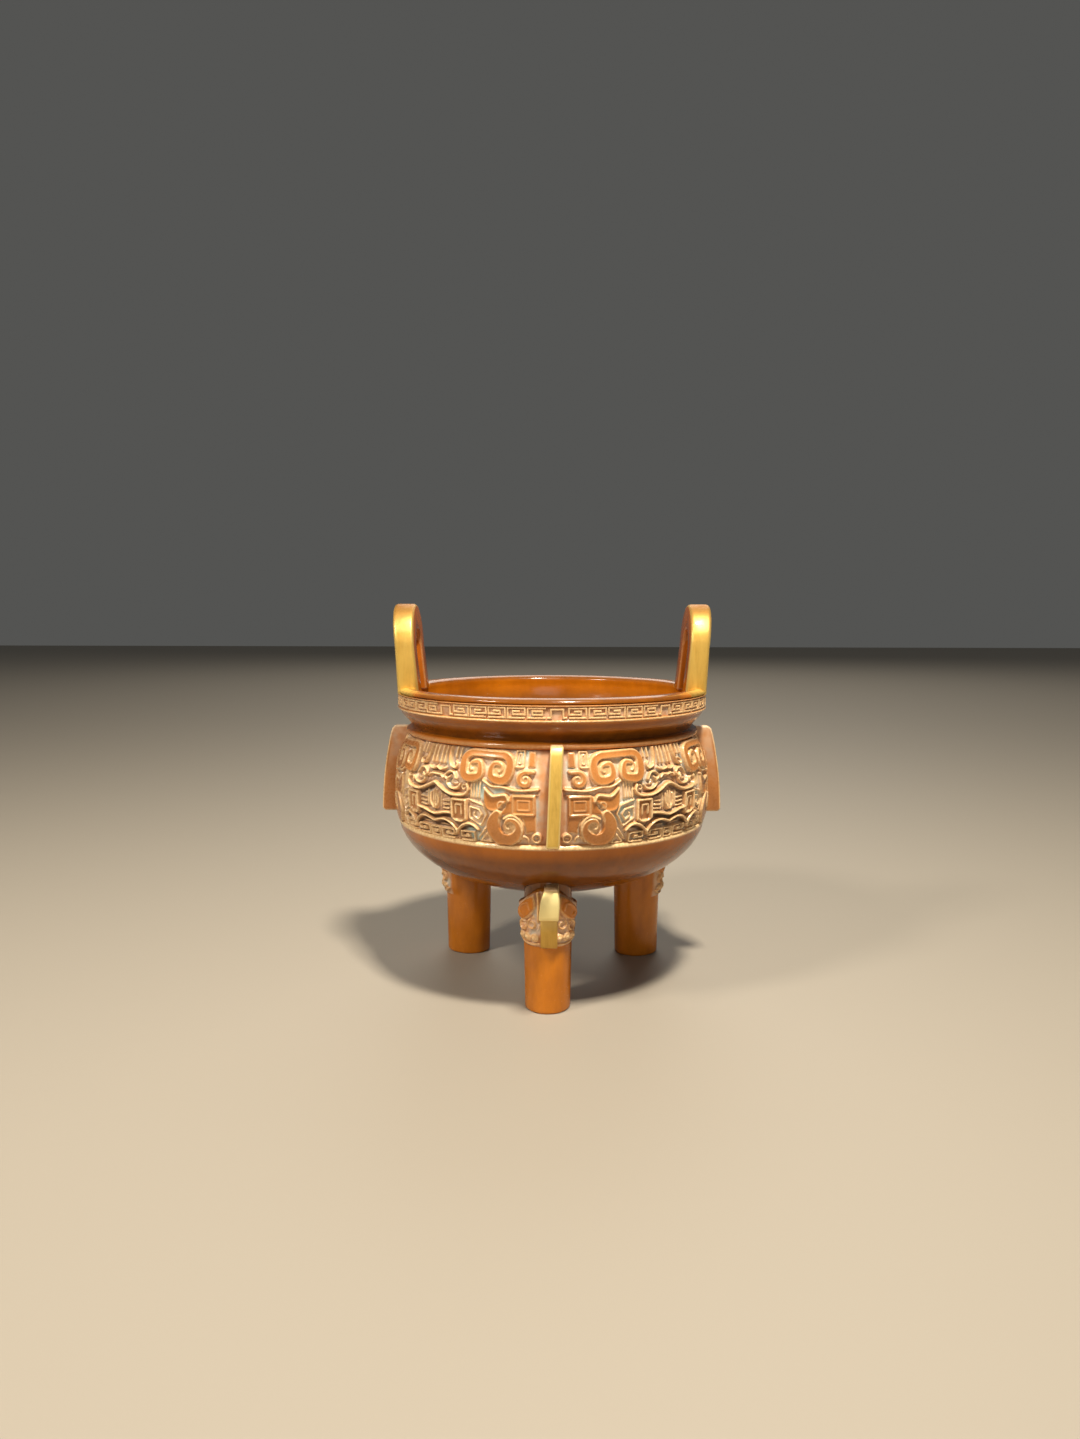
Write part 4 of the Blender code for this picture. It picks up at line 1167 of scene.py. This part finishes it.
# %% Drawing of the leg's mask
def draw_leg_mask(board):
    """Half of the beast's head, from the nose outwards, and from the column upwards."""
    ear = [(4.6, 21.0), (5.6, 25.0), (8.6, 23.8), (11.8, 21.2), (14.8, 17.8), (15.6, 14.4), (12.8, 12.6)]
    ear += [(9.6, 13.6), (6.8, 16.2), (5.0, 18.8), (4.6, 21.0)]
    board.slab(bent(ear), 1.9, edge=1.2, rim=0.35, dish=0.45)
    board.rib(bent([(6.9, 18.4), (8.0, 21.4), (10.6, 20.2), (12.9, 17.0), (11.6, 15.2)]), 1.3, 2.2, 0.2)
    board.rib(bent([(3.9, 13.0), (3.7, 20.0), (4.0, 26.4)]), 1.1, 1.1)
    eye = rolled((7.0, 11.6), [(60, 2.1), (-120, 1.9), (-300, 1.0), (-380, 0.4)], 40)
    board.ribbon(eye, (1.0, 1.5, 1.3, 0.8), 1.5)
    cheek = rolled((12.0, 10.2), [(130, 2.4), (-60, 2.1), (-240, 1.1), (-330, 0.4)], 40)
    board.ribbon(cheek, (1.1, 1.6, 1.3, 0.8), 1.6)
    for x, size in ((5.6, 1.9), (9.6, 2.0), (13.4, 1.7)):
        inside = size - np.hypot(board.x - x, board.y - 5.4)
        pale = 0.9 * soft((inside - 0.1 * size) / (0.5 * size))
        board.raise_to(1.8 * np.sqrt(np.clip(inside / size, 0, 1)), inside, pale)
        board.rib(rolled((x, 5.4), [(0, 0.9 * size), (320, 0.9 * size)], 20), 0.7, 1.2)
    board.rib(bent([(3.6, 2.6), (8.0, 1.9), (13.0, 2.4), (16.0, 4.6)]), 1.3, 1.0)
    board.echo(1.2, 0.7, 0.6, soft((board.y - 8) / 2) * soft((17 - board.x) / 2))


leg_drawing = Drawing(24.0, 30.0, 0.2)
draw_leg_mask(leg_drawing)
leg_lift, leg_pale = smoothed(leg_drawing.lift, 3), smoothed(leg_drawing.pale, 1)
print("leg drawing", leg_lift.shape, "up to", round(leg_lift.max(), 2), "mm")

# %% Rings of a column and its head
LEG_CIRCLE, LEG_TURN = 0.0515, math.radians(-1.7)
LEG_NAMES = ("front", "right", "left")
HALF_WIDTH, HALF_DEPTH, TAPER, MM_PER_DEGREE = 0.0112, 0.0124, 0.93, 0.2182
HEAD_FOOT, HEAD_TOP, HEAD_FALL, FOOT_ROUND = 0.0305, 0.0572, 0.0080, 0.0009
SWELL, UPPER_SWELL, STUB_GAP, STUB_SHARE = 0.0012, 0.0008, 0.0020, 0.96


def leg_matrix(index):
    """Turns a shape made with +X outwards to its leg."""
    return Matrix.Rotation(LEG_TURN + 2 * math.pi * index / 3 - math.pi / 2, 4, "Z")


def leg_rings(turns, off, top):
    """Rings from the foot to the head's top, with the mask's height and pale lines on each."""
    out, side = np.cos(turns), np.sin(turns)
    head_share, face = HEAD_FOOT / HEAD_TOP, soft((108 - off) / 16)
    column, head = np.linspace(0.04, head_share, 12), np.linspace(head_share, 1, 92)[1:]
    rings, lifts, pales = [], [], []
    for k, share in enumerate(np.concatenate([[0.0] * 4, column, head])):
        z, trim = share * top, 0.0
        if k < 4:
            turn = math.pi / 2 * k / 3
            z = np.full(len(turns), FOOT_ROUND * (1 - math.cos(turn)))
            trim = FOOT_ROUND * (1 - math.sin(turn))
        taper = TAPER + (1 - TAPER) * np.clip(z / BOWL_FOOT, 0, 1)
        above = z - HEAD_FOOT
        swell = soft(above / 0.0060) * (SWELL + UPPER_SWELL * soft((z - 0.040) / 0.010)) * face
        across, upward = off * MM_PER_DEGREE, np.maximum(0, above / MM)
        in_mask = soft(above / 0.0015) * face
        lift, pale = (leg_drawing.read(field, across, upward) * in_mask for field in (leg_lift, leg_pale))
        lifts.append(lift)
        pales.append(pale)
        more = swell + lift * MM - trim
        x, y = LEG_CIRCLE + out * (HALF_DEPTH * taper + more), side * (HALF_WIDTH * taper + more)
        rings.append(np.stack([x, y, z], 1))
    return rings, np.array(lifts), np.array(pales)


def tube_faces(count, ring_count):
    """Faces between rings of points. Two more points, at the start and the end, close the tube."""
    here = np.arange(count)
    after = (here + 1) % count
    faces = []
    for low in range(0, (ring_count - 1) * count, count):
        faces += np.stack([low + here, low + after, low + after + count, low + here + count], 1).tolist()
    last, start = (ring_count - 1) * count, ring_count * count
    for i, j in zip(here.tolist(), after.tolist()):
        faces += [(i, start, j), (last + i, last + j, start + 1)]
    return faces


# %% Columns with their heads
def make_leg(index):
    """One leg, from the foot up over the head's top, and as a narrower stub into the bowl's wall."""
    turns = np.radians(np.concatenate([np.arange(-112, 112.1, 1.4), np.arange(120, 247, 8)]))
    off = np.abs((np.degrees(turns) + 180) % 360 - 180)
    out, side = np.cos(turns), np.sin(turns)
    under = bowl_under(np.hypot(LEG_CIRCLE + out * 0.0145, side * 0.0130)) + WALL / 2
    top = np.minimum(HEAD_TOP - HEAD_FALL * soft((off - 10) / 75), under - STUB_GAP)
    rings, lift, pale = leg_rings(turns, off, top)
    high, head = np.array(rings)[:, :, 2], rings[-1]
    stub = np.stack([LEG_CIRCLE + out * HALF_DEPTH * STUB_SHARE, side * HALF_WIDTH * STUB_SHARE, top], 1)
    for share, rise in ((0.22, 0.0006), (0.5, 0.0010), (0.8, 0.0013), (1.0, 0.0016)):
        ring = head + (stub - head) * share
        ring[:, 2] = top + rise
        rings.append(ring)
    for shrink in (1.0, 0.5):
        x, y = LEG_CIRCLE + (stub[:, 0] - LEG_CIRCLE) * shrink, stub[:, 1] * shrink
        rings.append(np.stack([x, y, bowl_under(np.hypot(x, y)) + WALL / 2], 1))
    in_wall = float(bowl_under(LEG_CIRCLE)) + WALL / 2
    points = np.concatenate([*rings, [[LEG_CIRCLE, 0, 0], [LEG_CIRCLE, 0, in_wall]]])
    in_head = high > HEAD_FOOT + 0.001
    recess = (1 - soft((lift - 0.15) / 0.5)) * in_head * soft((84 - off) / 12) * 0.6
    # Painted shade: the head's upper part under the bowl is darkened, less on its raised relief, and the stub
    # into the wall is darkest.
    shade = 0.45 + 0.55 * soft((high - 0.0470) / 0.0080) * (1 - 0.7 * soft(lift / 1.2)) * in_head
    mesh = bpy.data.meshes.new(f"leg_{index}")
    mesh.from_pydata(points.tolist(), [], tube_faces(len(turns), len(rings)))
    paint(mesh, with_hidden(mesh, recess), with_hidden(mesh, pale), 0.0, with_hidden(mesh, shade, 1.1))
    mesh.transform(leg_matrix(index))
    return finished(f"leg_{LEG_NAMES[index]}", outward(mesh), column_glaze, 60)


for index in range(len(LEG_NAMES)):
    make_leg(index)

# %% [markdown]
# ## The noses
#
# Down the middle of each head runs a gilt flange in two steps: a beak, over a plain muzzle. Both
# are flat outlines. A rule narrows the beak towards its top.

# %% Noses
BEAK_WIDTH, MUZZLE_WIDTH, NOSE_ROUNDING = 0.0088, 0.0076, 0.0008
BEAK_FOOT, BEAK_BEND, GOLD_END, NOSE_REACH = 0.0448, 0.0475, 0.0588, 0.0066


def nose_outlines():
    """Beak and muzzle from the side, with their widths."""
    front = LEG_CIRCLE + HALF_DEPTH
    back, tip, brow = front - 0.006, front + NOSE_REACH, float(bowl_under(front))
    beak = [(back, 0.0453), (tip - 0.0020, 0.0446), (tip - 0.0004, 0.0458), (tip, BEAK_BEND)]
    beak += [(tip - 0.0003, 0.0515), (tip - 0.0010, 0.0548), (tip - 0.0020, 0.0575), (tip - 0.0038, 0.0590)]
    beak.append((back, brow + 0.0012))
    muzzle = [(back, 0.0311), (front + 0.0005, 0.0311), (front + 0.0016, 0.0322)]
    muzzle += [(front + 0.0023, 0.0390), (front + 0.0028, 0.0462), (back, 0.0462)]
    return (("beak", beak, BEAK_WIDTH), ("muzzle", muzzle, MUZZLE_WIDTH))


def make_nose(index):
    """Beak and muzzle of one leg, gilded. The front one leans a little to one side."""
    shape = bmesh.new()
    for label, outline, width in nose_outlines():
        mesh = flat_solid(f"{label}_{index}", outline, width, NOSE_ROUNDING, 3)
        at = points_of(mesh)
        above = at[:, 2] - BEAK_BEND
        if label == "beak":
            at[:, 1] *= 1 - 0.36 * np.clip(above / 0.0115, 0, 1) ** 4
        if index == 0:
            at[:, 1] += 0.0009 + 0.0011 * np.clip(above / 0.0120, 0, 1)
        mesh.vertices.foreach_set("co", at.astype(np.float32).ravel())
        shape.from_mesh(mesh)
    joined = bpy.data.meshes.new(f"nose_{index}")
    shape.to_mesh(joined)
    shape.free()
    at = points_of(joined)
    in_beak = soft((at[:, 2] - BEAK_FOOT) / 0.0012)
    gold = soft((at[:, 0] - LEG_CIRCLE - HALF_DEPTH + 0.0035) / 0.0035) * soft((GOLD_END - at[:, 2]) / 0.0008)
    # Ridge is a painted highlight on the beak's gold. Shade is painted shade: a darker gold on the muzzle
    # under the beak, and near black glaze where the gold ends at the beak's top and back.
    paint(joined, 0.0, 1.1 * in_beak, gold, np.maximum(0.38 * (1 - in_beak), 1.1 * (1 - gold)))
    joined.transform(leg_matrix(index))
    return finished(f"nose_{LEG_NAMES[index]}", joined, gilt_glaze)


for index in range(len(LEG_NAMES)):
    make_nose(index)

# %% [markdown]
# ## Floor and light
#
# The vessel stands on a plain pale floor. A soft light hangs above it, a second one on its left, and a
# weak broad one fills the front. A large light far behind draws the bright line along the rim.

# %% Floor
def make_floor():
    """A wide, plain floor that isn't part of the vessel."""
    shape = bmesh.new()
    bmesh.ops.create_grid(shape, x_segments=1, y_segments=1, size=4.0)
    mesh = bpy.data.meshes.new("floor")
    shape.to_mesh(mesh)
    shape.free()
    paper = bpy.data.materials.new("floor_paper")
    paper.use_nodes = True
    shader = paper.node_tree.nodes["Principled BSDF"]
    shader.inputs["Base Color"].default_value = colour_of(154, 146, 134)
    shader.inputs["Roughness"].default_value = 0.6
    mesh.materials.append(paper)
    floor = passing("floor", mesh)
    return floor


make_floor()

# %% Lights
def add_light(name, place, target, size, power, colour):
    """A square soft light that looks at a point."""
    lamp = bpy.data.lights.new(name, "AREA")
    lamp.size, lamp.energy, lamp.color = size, power, colour
    obj = passing(name, lamp)
    obj.location = place
    obj.rotation_euler = (Vector(target) - Vector(place)).to_track_quat("-Z", "Y").to_euler()


VESSEL = (0, 0, 0.08)
add_light("key", (0.14, -0.37, 1.05), VESSEL, 0.11, 19, (1.0, 0.91, 0.76))
add_light("second", (-0.56, -0.44, 0.74), VESSEL, 0.14, 5.4, (1.0, 0.91, 0.78))
add_light("fill", (0.1, -1.2, 0.62), VESSEL, 0.5, 1.4, (1.0, 0.93, 0.82))
add_light("back", (0.2, 2.0, 1.6), (0, 0.1, 0.05), 1.5, 16, (1.0, 0.95, 0.86))

world = bpy.data.worlds.new("studio")
world.use_nodes = True
background = world.node_tree.nodes["Background"].inputs
background["Color"].default_value, background["Strength"].default_value = colour_of(196, 196, 192), 0.16
bpy.context.scene.world = world
bpy.context.scene.view_settings.view_transform = "Standard"
